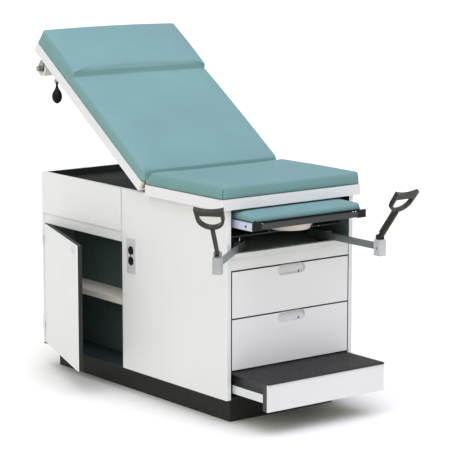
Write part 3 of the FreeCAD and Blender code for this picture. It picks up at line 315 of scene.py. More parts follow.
def wear(tree, shader, tone, rough, normal):
    """Links a finish's colour, roughness and relief to its shader."""
    for socket, value in (("Base Color", tone), ("Roughness", rough), ("Normal", normal)):
        tree.links.new(value, shader.inputs[socket])


# Finishes. Depths of relief are in metres, and dull is the middle of a finish's roughness.

def enamel(name, rgb, dull=0.36, shine=0.5, inside=(), outside=None):
    """Baked enamel on sheet steel: fine peel, slight waves, faint scuffs. Faces inside given spans may have
    another colour, and faces outside given spans take a dark colour that paints the shade of the gaps round
    a front."""
    finish, tree, shader = new_finish(name, Specular_IOR_Level=shine)
    point = surface_point(tree)
    broad = clouds(tree, point, cells=2.5, detail=3.0)
    scuffs = clouds(tree, point, cells=45.0, detail=6.0, rough=0.75)
    scuffed = spread(tree, scuffs, low=0.0, high=0.35, span=(0.62, 0.80))
    tone = overlay(tree, scuffed, tones(tree, broad, rgb, low=0.975, high=1.02), dimmed(rgb, factor=0.82))
    for spans, other in inside:
        worn = tones(tree, scuffs, other, low=0.8, high=1.3)
        tone = overlay(tree, within(tree, spans), tone, worn)
    # Painted shade: the front's edges, outside its face, take a dark colour that stands in for the shade in
    # the gaps round it.
    if outside is not None:
        spans, other = outside
        tone = overlay(tree, within(tree, spans), other, tone)
    waves = relief(tree, clouds(tree, point, cells=7.0), depth=0.0035, strength=0.10)
    peel = relief(tree, clouds(tree, point, cells=480.0), depth=0.00025, strength=0.22, under=waves)
    rough = spread(tree, scuffs, low=dull - 0.05, high=dull + 0.10)
    wear(tree, shader, tone, rough, peel)
    return finish


def within(tree, spans):
    """One on faces inside the given spans of the axes, nought outside."""
    axes = add(tree, "ShaderNodeSeparateXYZ", {"Vector": surface_point(tree)}).outputs
    tests = []
    for axis, (low, high) in spans.items():
        tests.append(reckon(tree, "GREATER_THAN", axes[axis], low))
        tests.append(reckon(tree, "LESS_THAN", axes[axis], high))
    found = tests[0]
    for test in tests[1:]:
        found = reckon(tree, "MULTIPLY", found, test)
    return found


FACE_MARGIN = 0.4 * MM


def shell_inside():
    """Spans of the cabinet's inside, out to the inner faces of its panels."""
    return {"X": (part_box("near_panel")[1].x - FACE_MARGIN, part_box("far_panel")[0].x + FACE_MARGIN),
            "Y": (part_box("near_panel")[0].y + FACE_MARGIN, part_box("head_panel")[0].y + FACE_MARGIN)}


def face_of(node):
    """Spans of a front's face, without its edges."""
    low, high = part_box(node)
    return {"X": (low.x + FACE_MARGIN, high.x - FACE_MARGIN),
            "Z": (low.z + FACE_MARGIN, high.z - FACE_MARGIN)}


def hide(name, rgb):
    """Soft vinyl with a pebbled hide grain, slack waves and a duller valley tone."""
    finish, tree, shader = new_finish(name, Specular_IOR_Level=0.05)
    point = surface_point(tree)
    cells = add(tree, "ShaderNodeTexVoronoi", {"Vector": point, "Scale": 620.0}, feature="DISTANCE_TO_EDGE")
    pebbles = spread(tree, cells.outputs["Distance"], low=0.0, high=1.0, span=(0.0, 0.22))
    valleys = spread(tree, pebbles, low=0.28, high=0.0, span=(0.0, 0.6))
    broad = clouds(tree, point, cells=4.0, detail=4.0)
    tone = overlay(tree, valleys, tones(tree, broad, rgb, low=0.95, high=1.05), dimmed(rgb, factor=0.72))
    slack = relief(tree, clouds(tree, point, cells=16.0, detail=3.0), depth=0.004, strength=0.10)
    grain = relief(tree, pebbles, depth=0.00018, strength=0.40, under=slack)
    rough = spread(tree, broad, low=0.60, high=0.72)
    wear(tree, shader, tone, rough, grain)
    return finish


def brushed(name, rgb, stretch, dull=0.30, metal=1.0):
    """Brushed metal with fine streaks along one way, less metallic where it is lacquered."""
    finish, tree, shader = new_finish(name, Metallic=metal)
    streaks = clouds(tree, surface_point(tree, stretch), cells=1.0, detail=4.0, rough=0.6)
    smears = clouds(tree, surface_point(tree), cells=22.0, detail=3.0)
    smeared = spread(tree, smears, low=0.0, high=0.25)
    tone = overlay(tree, smeared, tones(tree, streaks, rgb, low=0.86, high=1.08), dimmed(rgb, factor=0.85))
    rough = spread(tree, streaks, low=dull - 0.07, high=dull + 0.10)
    grain = relief(tree, streaks, depth=0.00006, strength=0.5)
    wear(tree, shader, tone, rough, grain)
    return finish


def plated(name, rgb, dull=0.12):
    """Bright plating with faint smears and hairline scratches."""
    finish, tree, shader = new_finish(name, Metallic=1.0)
    smears = clouds(tree, surface_point(tree), cells=30.0, detail=4.0, rough=0.6)
    hairs = clouds(tree, surface_point(tree, stretch=(900, 60, 900)), cells=1.0, detail=3.0)
    tone = tones(tree, smears, rgb, low=0.92, high=1.0)
    rough = spread(tree, smears, low=dull - 0.04, high=dull + 0.10)
    scratches = relief(tree, hairs, depth=0.00002, strength=0.4)
    wear(tree, shader, tone, rough, scratches)
    return finish


# Height over which an end block's ears are darker than the block.
EAR_LEVEL = 0.6655


def cast(name, rgb, ear_rgb):
    """Lacquered casting with a fine sand grain and darker ears."""
    finish, tree, shader = new_finish(name, Metallic=0.2)
    sand = clouds(tree, surface_point(tree), cells=900.0, detail=3.0, rough=0.7)
    broad = clouds(tree, surface_point(tree), cells=28.0, detail=3.0)
    rise = add(tree, "ShaderNodeSeparateXYZ", {"Vector": surface_point(tree)}).outputs["Z"]
    ears = reckon(tree, "GREATER_THAN", rise, EAR_LEVEL)
    tone = overlay(tree, ears, tones(tree, broad, rgb, low=0.93, high=1.04), ear_rgb)
    rough = spread(tree, broad, low=0.44, high=0.60)
    grain = relief(tree, sand, depth=0.00015, strength=0.5)
    wear(tree, shader, tone, rough, grain)
    return finish


def moulded(name, rgb, dull=0.42, shine=0.45, grain_cells=700.0, grain_depth=0.00012):
    """Moulded plastic with a spark-eroded grain and faint flow marks."""
    finish, tree, shader = new_finish(name, Specular_IOR_Level=shine)
    sparks = clouds(tree, surface_point(tree), grain_cells, detail=3.0, rough=0.7)
    flow = clouds(tree, surface_point(tree), cells=12.0, detail=3.0)
    specks = spread(tree, sparks, low=0.0, high=0.3, span=(0.5, 0.8))
    tone = overlay(tree, specks, tones(tree, flow, rgb, low=0.93, high=1.06), dimmed(rgb, factor=1.35))
    rough = spread(tree, flow, low=dull - 0.06, high=dull + 0.08)
    grain = relief(tree, sparks, grain_depth, strength=0.5)
    wear(tree, shader, tone, rough, grain)
    return finish


def rubber(name, rgb):
    """Tread rubber, dusty in its pores."""
    finish, tree, shader = new_finish(name, Specular_IOR_Level=0.22)
    pores = clouds(tree, surface_point(tree), cells=420.0, detail=4.0, rough=0.7)
    dust = clouds(tree, surface_point(tree), cells=9.0, detail=5.0, rough=0.65)
    dusty = spread(tree, dust, low=0.0, high=0.30, span=(0.45, 0.75))
    tone = overlay(tree, dusty, tones(tree, pores, rgb, low=0.75, high=1.25), dimmed(rgb, factor=2.2))
    rough = spread(tree, dust, low=0.48, high=0.66)
    grain = relief(tree, pores, depth=0.0003, strength=0.5)
    wear(tree, shader, tone, rough, grain)
    return finish


def lined_board(name, rgb, dull=0.50, shine=0.4):
    """Dark laminated board with a faint upright grain."""
    finish, tree, shader = new_finish(name, Specular_IOR_Level=shine)
    veins = clouds(tree, surface_point(tree, stretch=(90, 90, 6)), cells=1.0, detail=5.0, rough=0.6)
    broad = clouds(tree, surface_point(tree), cells=5.0, detail=3.0)
    tone = tones(tree, veins, rgb, low=0.86, high=1.15)
    rough = spread(tree, broad, low=dull - 0.08, high=dull + 0.08)
    grain = relief(tree, veins, depth=0.0002, strength=0.35)
    wear(tree, shader, tone, rough, grain)
    return finish


# Light and dark layers per metre of the paper roll's radius.
PAPER_RINGS = 900.0


def wound_paper(name, rgb):
    """Creped paper, with the rings of its layers on the ends of the roll."""
    finish, tree, shader = new_finish(name, Specular_IOR_Level=0.2)
    centred = surface_point(tree, shift=-middle("paper_roll"))
    across = add(tree, "ShaderNodeVectorMath", {0: centred, 1: (0, 1, 1)}, operation="MULTIPLY")
    radius = add(tree, "ShaderNodeVectorMath", {0: across.outputs[0]}, operation="LENGTH").outputs["Value"]
    rings = reckon(tree, "PINGPONG", reckon(tree, "MULTIPLY", radius, PAPER_RINGS), 1.0)
    fibres = clouds(tree, surface_point(tree, stretch=(160, 900, 900)), cells=1.0, detail=4.0, rough=0.7)
    layers = spread(tree, rings, low=0.22, high=0.0, span=(0.0, 0.45))
    tone = overlay(tree, layers, tones(tree, fibres, rgb, low=0.94, high=1.05), dimmed(rgb, factor=0.72))
    rough = spread(tree, fibres, low=0.72, high=0.88)
    crepe = relief(tree, fibres, depth=0.0003, strength=0.5)
    wear(tree, shader, tone, rough, crepe)
    return finish


# The finish of each slot, and the nodes that take another finish than their slot's.
FINISH_OF_SLOT = {
    "white_enamel": "satin_enamel", "dark_board": "liner_board", "dark_enamel": "black_enamel",
    "teal_vinyl": "teal_hide", "chrome": "plated_chrome", "bright_steel": "brushed_steel",
    "cast_aluminium": "sand_cast", "hinge_brass": "hinge_plate", "tread_rubber": "dusty_rubber",
    "black_plastic": "black_mould", "pull_plastic": "pull_mould", "cream_enamel": "cream_paint",
    "basin_plastic": "basin_mould", "drawer_plastic": "tray_mould", "paper": "creped_paper",
}
NODES_OF_FINISH = {
    "satin_enamel": ("door_hinge_fixed", "door_hinge_moving"),
    "shell_enamel": ("near_panel", "near_apron", "far_panel", "head_panel"),
    "apron_enamel": ("front_apron",),
    "upper_front_enamel": ("upper_drawer_front",),
    "lower_front_enamel": ("lower_drawer_front",),
    "base_enamel": ("base_plinth", "door_core"),
    "guide_paint": ("slide_channels", "stirrup_pivots", "near_stirrup_swivel", "far_stirrup_swivel",
                    "treatment_pan_shelf"),
    "bay_board": ("bay_floor",),
    "floor_board": ("cabinet_floor",),
    "deck_board": ("top_deck", "leg_rest_board"),
    "upright_steel": ("outlet_plate", "door_pull"),
    "rail_steel": ("leg_rest_rails",),
    "arm_steel": ("near_stirrup_arm", "far_stirrup_arm"),
    "smoked_chrome": ("back_brackets", "roll_spindle"),
    "plain_cast": ("near_stirrup_block",),
    "foot_mould": ("near_stirrup_foot", "far_stirrup_foot"),
    "knob_mould": ("release_handle",),
}
FINISH_OF_NODE = {node: finish for finish, nodes in NODES_OF_FINISH.items() for node in nodes}


class EXAMTABLE_OT_finishes(bpy.types.Operator):
    """Makes the finishes and dresses every node of the table"""
    bl_idname = "exam_table.finishes"
    bl_label = "Finishes"

    def execute(self, context):
        tint = context.scene.exam_table_colours
        along_length = (900, 12, 900)
        upright_grain = (900, 900, 14)
        shell = shell_inside()
        rim = {**shell, "Z": (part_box("top_deck")[1].z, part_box("near_apron")[1].z + FACE_MARGIN)}
        behind = {**shell, "Y": (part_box("front_apron")[1].y - FACE_MARGIN, shell["Y"][1])}
        made = [
            enamel("satin_enamel", tint.enamel),
            enamel("shell_enamel", tint.enamel, inside=((shell, tint.inside), (rim, tint.deck))),
            enamel("apron_enamel", tint.enamel, inside=((behind, tint.inside),)),
            # Painted shade: the bay's guides, channels and pan's shelf are painted dark for the deep shade
            # inside the bay.
            enamel("guide_paint", tint.guide, dull=0.65, shine=0.15),
            # Painted shade: the drawer fronts' edges are painted black, for the shade in the gaps round
            # them.
            enamel("upper_front_enamel", tint.enamel, outside=(face_of("upper_drawer_front"), tint.black)),
            enamel("lower_front_enamel", tint.enamel, outside=(face_of("lower_drawer_front"), tint.black)),
            enamel("black_enamel", tint.dark_enamel, dull=0.45),
            enamel("base_enamel", tint.base, dull=0.60, shine=0.25),
            enamel("cream_paint", tint.cream, dull=0.45),
            hide("teal_hide", tint.vinyl),
            # Painted light: the back wears a paler copy of the seat's vinyl, for the stronger light on the
            # tilted back.
            hide("back_hide", tint.back_vinyl),
            plated("plated_chrome", tint.chrome),
            plated("smoked_chrome", tint.smoked, dull=0.22),
            plated("hinge_plate", tint.brass, dull=0.30),
            brushed("brushed_steel", tint.steel, along_length),
            brushed("upright_steel", tint.steel, upright_grain, dull=0.48, metal=0.35),
            brushed("rail_steel", tint.rail, along_length, dull=0.45, metal=0.30),
            brushed("arm_steel", tint.arm, along_length, dull=0.42, metal=0.50),
            cast("sand_cast", tint.aluminium, tint.black),
            cast("plain_cast", dimmed(tint.aluminium, factor=0.75), tint.arm),
            rubber("dusty_rubber", tint.tread),
            moulded("black_mould", tint.black, shine=0.15),
            moulded("knob_mould", dimmed(tint.black, factor=0.5), dull=0.30, shine=0.12, grain_cells=300.0,
                    grain_depth=0.00005),
            moulded("foot_mould", tint.foot, dull=0.34, shine=0.20, grain_cells=500.0, grain_depth=0.00015),
            moulded("pull_mould", tint.pull, dull=0.34),
            moulded("basin_mould", tint.basin, dull=0.40),
            # Painted shade: the drawer boxes' near black colour stands in for the dark gaps round the
            # fronts.
            moulded("tray_mould", tint.tray, dull=0.50),
            # The seams' thread colour is partly real thread and partly painted shade of the seams' grooves.
            moulded("seam_thread", tint.thread, dull=0.70, grain_cells=1500.0, grain_depth=0.0002),
            lined_board("liner_board", tint.board),
            lined_board("floor_board", dimmed(tint.board, factor=0.35), dull=0.75, shine=0.10),
            # Painted light: the bay's floor is far paler than its dark paint, for the fill light inside the
            # bay.
            lined_board("bay_board", tint.bay, dull=0.60, shine=0.25),
            lined_board("deck_board", tint.deck, dull=0.75, shine=0.10),
            wound_paper("creped_paper", tint.paper),
        ]
        known = {finish.name for finish in made}
        for name, node in NODES.items():
            slot = node.material_slots[0]
            wanted = FINISH_OF_NODE.get(name) or FINISH_OF_SLOT[slot.material.name.split(".")[0]]
            if wanted not in known:
                raise RuntimeError(f"{name} has no finish named {wanted}")
            slot.material = bpy.data.materials[wanted]
        return {"FINISHED"}


# Mesh helpers

# Edges of a piece that bend more than this stay sharp.
SHARP = math.radians(38)
STUD_SIDES = 24
# Least cosine between two directions that count as parallel.
PARALLEL = 0.9


def make_piece(name, bm, body, slot, finish):
    """Turns a bmesh into a piece that rides on a body and wears a finish."""
    bmesh.ops.recalc_face_normals(bm, faces=bm.faces)
    for face in bm.faces:
        face.smooth = True
    for edge in bm.edges:
        edge.smooth = len(edge.link_faces) != 2 or edge.calc_face_angle() < SHARP
    mesh = bpy.data.meshes.new(name)
    bm.to_mesh(mesh)
    bm.free()
    piece = bpy.data.objects.new(name, mesh)
    bpy.context.scene.collection.objects.link(piece)
    mesh.materials.append(bpy.data.materials[finish])
    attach(piece, body)
    return piece


def round_edges(bm, edges, radius, segments=3):
    """Rounds edges."""
    bmesh.ops.bevel(bm, geom=edges, offset=radius, offset_type="OFFSET", segments=segments, profile=0.5,
                    affect="EDGES", material=-1)


def stud(bm, place, facing, radius, height, dome):
    """A round stud that stands on a face, with its outer rim rounded."""
    turn = Matrix.Translation(place) @ FACING[facing]
    made = bmesh.ops.create_cone(bm, cap_ends=True, segments=STUD_SIDES, radius1=radius, radius2=radius,
                                 depth=height, matrix=turn @ Matrix.Translation((0, 0, height / 2)))
    outward = (turn.to_3x3() @ Vector((0, 0, 1))).normalized()
    tops = {v for v in made["verts"] if (v.co - Vector(place)).dot(outward) > height / 2}
    rim = [e for e in bm.edges if e.verts[0] in tops and e.verts[1] in tops]
    round_edges(bm, rim, dome)


def bar(bm, place, facing, width, rise, depth, radius=0.0):
    """A small block that stands on a face: width across, rise up, depth outwards, its corners rounded."""
    turn = Matrix.Translation(place) @ FACING[facing]
    across, up = (rise, width) if facing == "near" else (width, rise)
    scale = Matrix.Diagonal((across, up, depth, 1))
    made = bmesh.ops.create_cube(bm, size=1.0, matrix=turn @ Matrix.Translation((0, 0, depth / 2)) @ scale)
    if radius:
        outward = (turn.to_3x3() @ Vector((0, 0, 1))).normalized()
        own = set(made["verts"])
        standing = [e for e in bm.edges if e.verts[0] in own and e.verts[1] in own
                    and abs((e.verts[0].co - e.verts[1].co).normalized().dot(outward)) > PARALLEL]
        round_edges(bm, standing, radius)


# How deep the foot of a fitting sits in the face that it stands on.
SUNK = 0.1 * MM


def fastener(name, places, facing, dress, radius, height, dome):
    """A piece of one or more like studs. Its dress is its body, slot and finish."""
    bm = bmesh.new()
    for place in places:
        stud(bm, place, facing, radius, height, dome)
    make_piece(name, bm, *dress)


def tab(name, place, facing, dress, width, rise, depth, radius=0.0):
    """A piece of one small block. Its dress is its body, slot and finish."""
    bm = bmesh.new()
    bar(bm, place, facing, width, rise, depth, radius)
    make_piece(name, bm, *dress)


# Cushions

ACROSS, ALONG, UP = range(3)
ROLL_SEGMENTS = 6
# Rows of fine mesh before and after a crease.
CREASE_ROWS = range(-10, 15)


class Pad(NamedTuple):
    """Plan of one cushion, drawn flat: its foot end at nought, its base on the ground. An end is 0 for the
    foot and 1 for the head: one may slope to the hinge, and one may have sewn corners."""
    half: float
    run: float
    thick: float
    roll: float
    swell: float
    draw_in: float
    slope_end: int | None = None
    seam_end: int | None = None
    creases: tuple = ()
    corner: float | None = None

    def narrowing(self, rise):
        """Share of its width that the cushion keeps at a height over its base."""
        return 1 - self.draw_in / self.half * min(max(rise / self.thick, 0.0), 1.0)


def slice_rows(bm, axis, levels):
    """Cuts a mesh into rows at the given levels along an axis."""
    normal = Vector([float(i == axis) for i in range(3)])
    for level in levels:
        everything = bm.verts[:] + bm.edges[:] + bm.faces[:]
        bmesh.ops.bisect_plane(bm, geom=everything, dist=TINY, plane_co=normal * level, plane_no=normal)


def steps(low, high, step):
    """Levels between two ends, about a step apart."""
    count = max(1, round((high - low) / step))
    return [low + (high - low) * i / count for i in range(1, count)]


def upright(edge):
    """True for an edge that runs up a corner."""
    a, b = edge.verts[0].co, edge.verts[1].co
    return abs(a.z - b.z) > TINY and abs(a.x - b.x) < TINY


def on_top(edge, pad):
    """True for an edge of the top."""
    return min(v.co.z for v in edge.verts) > pad.thick - TINY


def pad_blank(pad, sizes):
    """The cover before it is stuffed: a slab with sloped or rolled ends, cut into rows."""
    bm = bmesh.new()
    bmesh.ops.create_cube(bm, size=1.0, matrix=Matrix.Translation((0, pad.run / 2, pad.thick / 2))
                          @ Matrix.Diagonal((2 * pad.half, pad.run, pad.thick, 1)))
    reach = 0.0
    if pad.slope_end is not None:
        slice_rows(bm, UP, [sizes.slope_low])
        reach = (pad.thick - sizes.slope_low) * sizes.slope
        end = pad.slope_end * pad.run
        top = [v for v in bm.verts if abs(v.co.y - end) < TINY and v.co.z > pad.thick - TINY]
        bmesh.ops.translate(bm, vec=(0, reach * (1 - 2 * pad.slope_end), 0), verts=top)
    if pad.corner is not None:
        round_edges(bm, [e for e in bm.edges if upright(e)], pad.corner, ROLL_SEGMENTS)
        round_edges(bm, [e for e in bm.edges if on_top(e, pad)], pad.roll, ROLL_SEGMENTS)
    else:
        round_edges(bm, [e for e in bm.edges if upright(e) or on_top(e, pad)], pad.roll, ROLL_SEGMENTS)
    slice_rows(bm, ACROSS, steps(-pad.half + pad.roll, pad.half - pad.roll, sizes.grid))
    near_crease = [c + i * sizes.fine_grid for c in pad.creases for i in CREASE_ROWS]
    rows = [y for y in steps(pad.roll, pad.run - pad.roll, sizes.grid)
            if all(abs(y - fine) > 2 * sizes.fine_grid for fine in near_crease)]
    slice_rows(bm, ALONG, rows + near_crease)
    slice_rows(bm, UP, steps(0, pad.thick - pad.roll, sizes.grid))
    bmesh.ops.recalc_face_normals(bm, faces=bm.faces)
    return bm, reach


# What the stuffing can't move: a share of a cushion's height over its base, of the roll at its edges, of its
# height at the creases, and of the slope at the hinge.
HELD_BASE = 0.15
HELD_EDGE = 0.45
HELD_CREASE = 0.5
HELD_SLOPE = 0.9


def held(pad, reach, at):
    """True where the cover is fixed: on its base, its sewn edges and creases, and the slope at the hinge."""
    if at.z < HELD_BASE * pad.thick:
        return True
    sides = [pad.thick - at.z, pad.half - abs(at.x)]
    ends = {0: at.y, 1: pad.run - at.y}
    sides += [gap for end, gap in ends.items() if end != pad.slope_end]
    if sorted(sides)[1] < HELD_EDGE * pad.roll:
        return True
    if any(abs(at.y - seam) < MM and at.z > HELD_CREASE * pad.thick for seam in pad.creases):
        return True
    return pad.slope_end is not None and ends[pad.slope_end] < HELD_SLOPE * reach


def stuff(cover, fixed, pad, sizes):
    """Blows the cover up like stuffing does, and keeps each point near its place."""
    mesh = cover.data
    rest = [v.co.copy() for v in mesh.vertices]
    group = cover.vertex_groups.new(name="held")
    group.add(fixed, 1.0, "REPLACE")
    cloth = cover.modifiers.new("Stuffing", "CLOTH")
    cloth.settings.vertex_group_mass = group.name
    cloth.settings.use_pressure = True
    cloth.settings.uniform_pressure_force = sizes.pressure
    cloth.settings.effector_weights.gravity = 0
    cloth.point_cache.frame_end = sizes.frames
    scene = bpy.context.scene
    for number in range(1, sizes.frames + 1):
        scene.frame_set(number)
    swollen = cover.evaluated_get(bpy.context.evaluated_depsgraph_get()).to_mesh()
    for vertex, start, end in zip(mesh.vertices, rest, swollen.vertices):
        push = end.co - start
        if push.length > TINY:
            vertex.co = start + push * (pad.swell * math.tanh(push.length / pad.swell) / push.length)
    cover.modifiers.remove(cloth)
    cover.vertex_groups.remove(group)
    scene.frame_set(1)


def shoulder(t):
    """Round shoulder of a stuffed edge: nought at the seam, one at the top."""
    t = min(max(t, 0.0), 1.0)
    return math.sqrt(1 - (1 - t) ** 2)


# Share of the pillow's lower face that is a plain slant, before its round.
ROUND_START = 0.8


def slanted(t):
    """Slanted end of the pillow with a round at its top: nought at the seam, one at the top."""
    t = min(max(t, 0.0), 1.0)
    pitch = 2 / (1 + ROUND_START)
    if t < ROUND_START:
        return pitch * t
    return 1 - pitch * (1 - t) ** 2 / (2 * (1 - ROUND_START))


# Share of a cushion's height at which its top begins, and the share over which it takes hold.
TOP_START = 0.35
TOP_FADE = 0.4


def top_share(rise, pad):
    """How far a point belongs to the top: nought low on the sides, one near the top."""
    return min(max((rise / pad.thick - TOP_START) / TOP_FADE, 0.0), 1.0)


def shape_top(mesh, pad, sizes):
    """Leans the sides in, lets the top edges rise between the ends and the creases, and raises the pillow's
    middle and head end more."""
    stops = [0.0, *pad.creases, pad.run]
    for vertex in mesh.vertices:
        at = vertex.co
        across = at.x / pad.half
        weight = top_share(at.z, pad)
        at.x *= pad.narrowing(at.z)
        for start, end in zip(stops, stops[1:]):
            if start <= at.y < end:
                at.z += weight * sizes.bow * math.sin(math.pi * (at.y - start) / (end - start))
        for seam in pad.creases:
            along = min(max((at.y - seam) / (pad.run - seam), 0.0), 1.0)
            at.z += weight * along * (sizes.wedge + sizes.arch * (1 - across ** 2))


def sew_crease(mesh, pad, sizes):
    """Presses a sewn crease across the top, with the pillow standing higher behind it."""
    for vertex in mesh.vertices:
        weight = top_share(vertex.co.z, pad)
        for seam in pad.creases:
            gap = vertex.co.y - seam
            if gap < 0:
                move = -sizes.crease_depth * (1 - shoulder(-gap / sizes.crease_foot))
            else:
                rise = sizes.crease_depth + sizes.pillow
                move = -sizes.crease_depth + rise * slanted(gap / sizes.crease_head)
            vertex.co.z += move * weight


def corner_lines(pad):
    """Middle of each sewn corner's round, and the way out through the corner, in plan."""
    if pad.seam_end is None:
        return []
    end = pad.seam_end * pad.run + pad.roll * (1 - 2 * pad.seam_end)
    out = 2 * pad.seam_end - 1
    middles = [Vector((side * (pad.half - pad.roll), end)) for side in (-1, 1)]
    return [(place, Vector((math.copysign(1, place.x), out)).normalized()) for place in middles]


# A corner seam starts at this share of the roll, is felt over so many half widths, and fades out towards a
# share of the height.
SEAM_START = 0.3
SEAM_REACH = 3
SEAM_TOP = 0.92
SEAM_FADE = 0.15


def sew_corners(mesh, pad, sizes):
    """Draws the upright seams at the corners inwards."""
    for middle_point, outward in corner_lines(pad):
        across = Vector((-outward.y, outward.x))
        for vertex in mesh.vertices:
            offset = Vector((vertex.co.x / pad.narrowing(vertex.co.z), vertex.co.y)) - middle_point
            out, aside = offset.dot(outward), abs(offset.dot(across))
            if out < SEAM_START * pad.roll or aside > SEAM_REACH * sizes.seam_half:
                continue
            groove = math.exp(-(aside / sizes.seam_half) ** 2)
            fade = min(1.0, max(0.0, (SEAM_TOP - vertex.co.z / pad.thick) / SEAM_FADE))
            pull = outward * (-sizes.seam_depth * groove * fade)
            vertex.co.x += pull.x
            vertex.co.y += pull.y


# Length of a stitch in a corner seam, the gap to the next, and the share of the height they reach.
STITCH = 0.0046
STITCH_GAP = 0.0008
STITCH_TOP = 0.68


def corner_stitches(pad, sizes, place, name, body):
    """Rows of short dark stitches down the sewn corners, whose colour also paints the shade in the seams'
    grooves.
    """
    bm = bmesh.new()
    top = STITCH_TOP * pad.thick
    for middle_point, outward in corner_lines(pad):
        foot = middle_point + outward * (pad.roll - sizes.seam_depth)
        level = STITCH
        while level < top:
            at = Matrix.Translation((foot.x * pad.narrowing(level), foot.y, level))
            made = bmesh.ops.create_uvsphere(bm, u_segments=8, v_segments=6, radius=1.0)
            shape = at @ Matrix.Diagonal((sizes.thread, sizes.thread, STITCH / 2, 1))
            bmesh.ops.transform(bm, matrix=shape, verts=made["verts"])
            level += STITCH + STITCH_GAP
    bmesh.ops.transform(bm, matrix=place, verts=bm.verts)
    make_piece(name, bm, body, "teal_vinyl", "seam_thread")


def make_cushion(name, pad, place, body, finish, sizes):
    """A stuffed cushion in its place, which stands for the plain solid of its node."""
    bm, reach = pad_blank(pad, sizes)
    fixed = [i for i, v in enumerate(bm.verts) if held(pad, reach, v.co)]
    cover = make_piece(name + "_padded", bm, body, "teal_vinyl", finish)
    sew_crease(cover.data, pad, sizes)
    shape_top(cover.data, pad, sizes)
    stuff(cover, fixed, pad, sizes)
    sew_corners(cover.data, pad, sizes)
    cover.data.transform(place)
    smooth = cover.modifiers.new("Smooth cover", "SUBSURF")
    smooth.levels = smooth.render_levels = 1
    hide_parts(name)


# Gap that keeps the seat's cover off its pan.
SEAT_GAP = 0.3 * MM
# Back cushion: its tilt at rest in degrees, its lower end from the hinge's axis, and its length.
BACK_ANGLE = 33.9
BACK_BASE = (0, 0.0053, -0.0107)
BACK_RUN = 0.851


class EXAMTABLE_OT_cushions(bpy.types.Operator):
    """Makes the seat cushion, the back cushion with its pillow, and the leg rest's pad"""
    bl_idname = "exam_table.cushions"
    bl_label = "Cushions"

    def execute(self, context):
        sizes = context.scene.exam_table_pads
        low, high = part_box("seat_cushion")
        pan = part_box("seat_pan")[1]
        seat = Pad(pan.x, high.y - low.y, sizes.thick, sizes.roll, sizes.swell, sizes.draw_in, slope_end=1,
                   seam_end=0)
        place = Matrix.Translation((0, low.y, pan.z + SEAT_GAP))
        make_cushion("seat_cushion", seat, place, "cabinet", "teal_hide", sizes)
        corner_stitches(seat, sizes, place, "seat_corner_stitches", "cabinet")

        tilt = Matrix.Rotation(math.radians(BACK_ANGLE), 4, "X")
        place = Matrix.Translation(pivot_of("back_hinge")) @ tilt @ Matrix.Translation(BACK_BASE)
        back = Pad(pan.x, BACK_RUN, sizes.back_thick, sizes.roll, sizes.swell, sizes.draw_in, slope_end=0,
                   creases=(sizes.crease,), seam_end=1)
        make_cushion("back_cushion", back, place, "backrest", "back_hide", sizes)
        corner_stitches(back, sizes, place, "back_corner_stitches", "backrest")

        low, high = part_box("leg_rest_pad")
        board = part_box("leg_rest_board")
        half = board[1].x + sizes.leg_lap
        foot = board[0].y - sizes.leg_lap / 2
        leg = Pad(half, high.y - foot, sizes.leg_thick, sizes.leg_roll, sizes.leg_swell, sizes.leg_swell,
                  corner=sizes.leg_corner)
        place = Matrix.Translation((0, foot, low.z - sizes.leg_skirt))
        make_cushion("leg_rest_pad", leg, place, "leg_rest", "teal_hide", sizes)
        return {"FINISHED"}


SLOT_DEPTH = 0.4 * MM


class EXAMTABLE_OT_outlet(bpy.types.Operator):
    """Makes the slots and the screw of the socket outlet on the near side"""
    bl_idname = "exam_table.outlet"
    bl_label = "Outlet"

    def execute(self, context):
        trim = context.scene.exam_table_trim
        low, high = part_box("receptacles")
        face = low.x + SUNK
        centre = middle("receptacles")
        spacing = (high.z - low.z) / 2 - trim.receptacle
        slots = bmesh.new()
        for row in (centre.z - spacing, centre.z + spacing):
            for side in (-1, 1):
                place = (face, centre.y + side * trim.blade_gap, row + trim.blade_rise)
                bar(slots, place, "near", trim.blade_width, trim.blade, SLOT_DEPTH)
            stud(slots, (face, centre.y, row - trim.earth_drop), "near", trim.earth, SLOT_DEPTH, dome=SUNK)
        make_piece("outlet_slots", slots, "cabinet", "black_plastic", "black_mould")

        place = (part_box("outlet_plate")[0].x + 2 * SUNK, centre.y, centre.z)
        fastener("outlet_screw", [place], "near", ("cabinet", "bright_steel", "plated_chrome"),
                 radius=trim.screw, height=1.4 * MM, dome=0.9 * MM)
        return {"FINISHED"}


# Places of the fittings: along and up on the near side, across on the front, and a catch's in its pull.
PLUG_PLACE = (-0.185, 0.359)
RAIL_HOLE_PLACE = (-0.669, 0.7335)
BAR_SCREWS = (-0.217, 0.204, 0.217)
CATCH_ACROSS = 0.042
CATCH_INSET = 0.009
CATCH_RISE = 0.006
APRON_LINE = 0.6035
LINE_MARGIN = 2 * MM
RIVET_ACROSS = 0.165
RIVET_RISE = 2 * MM


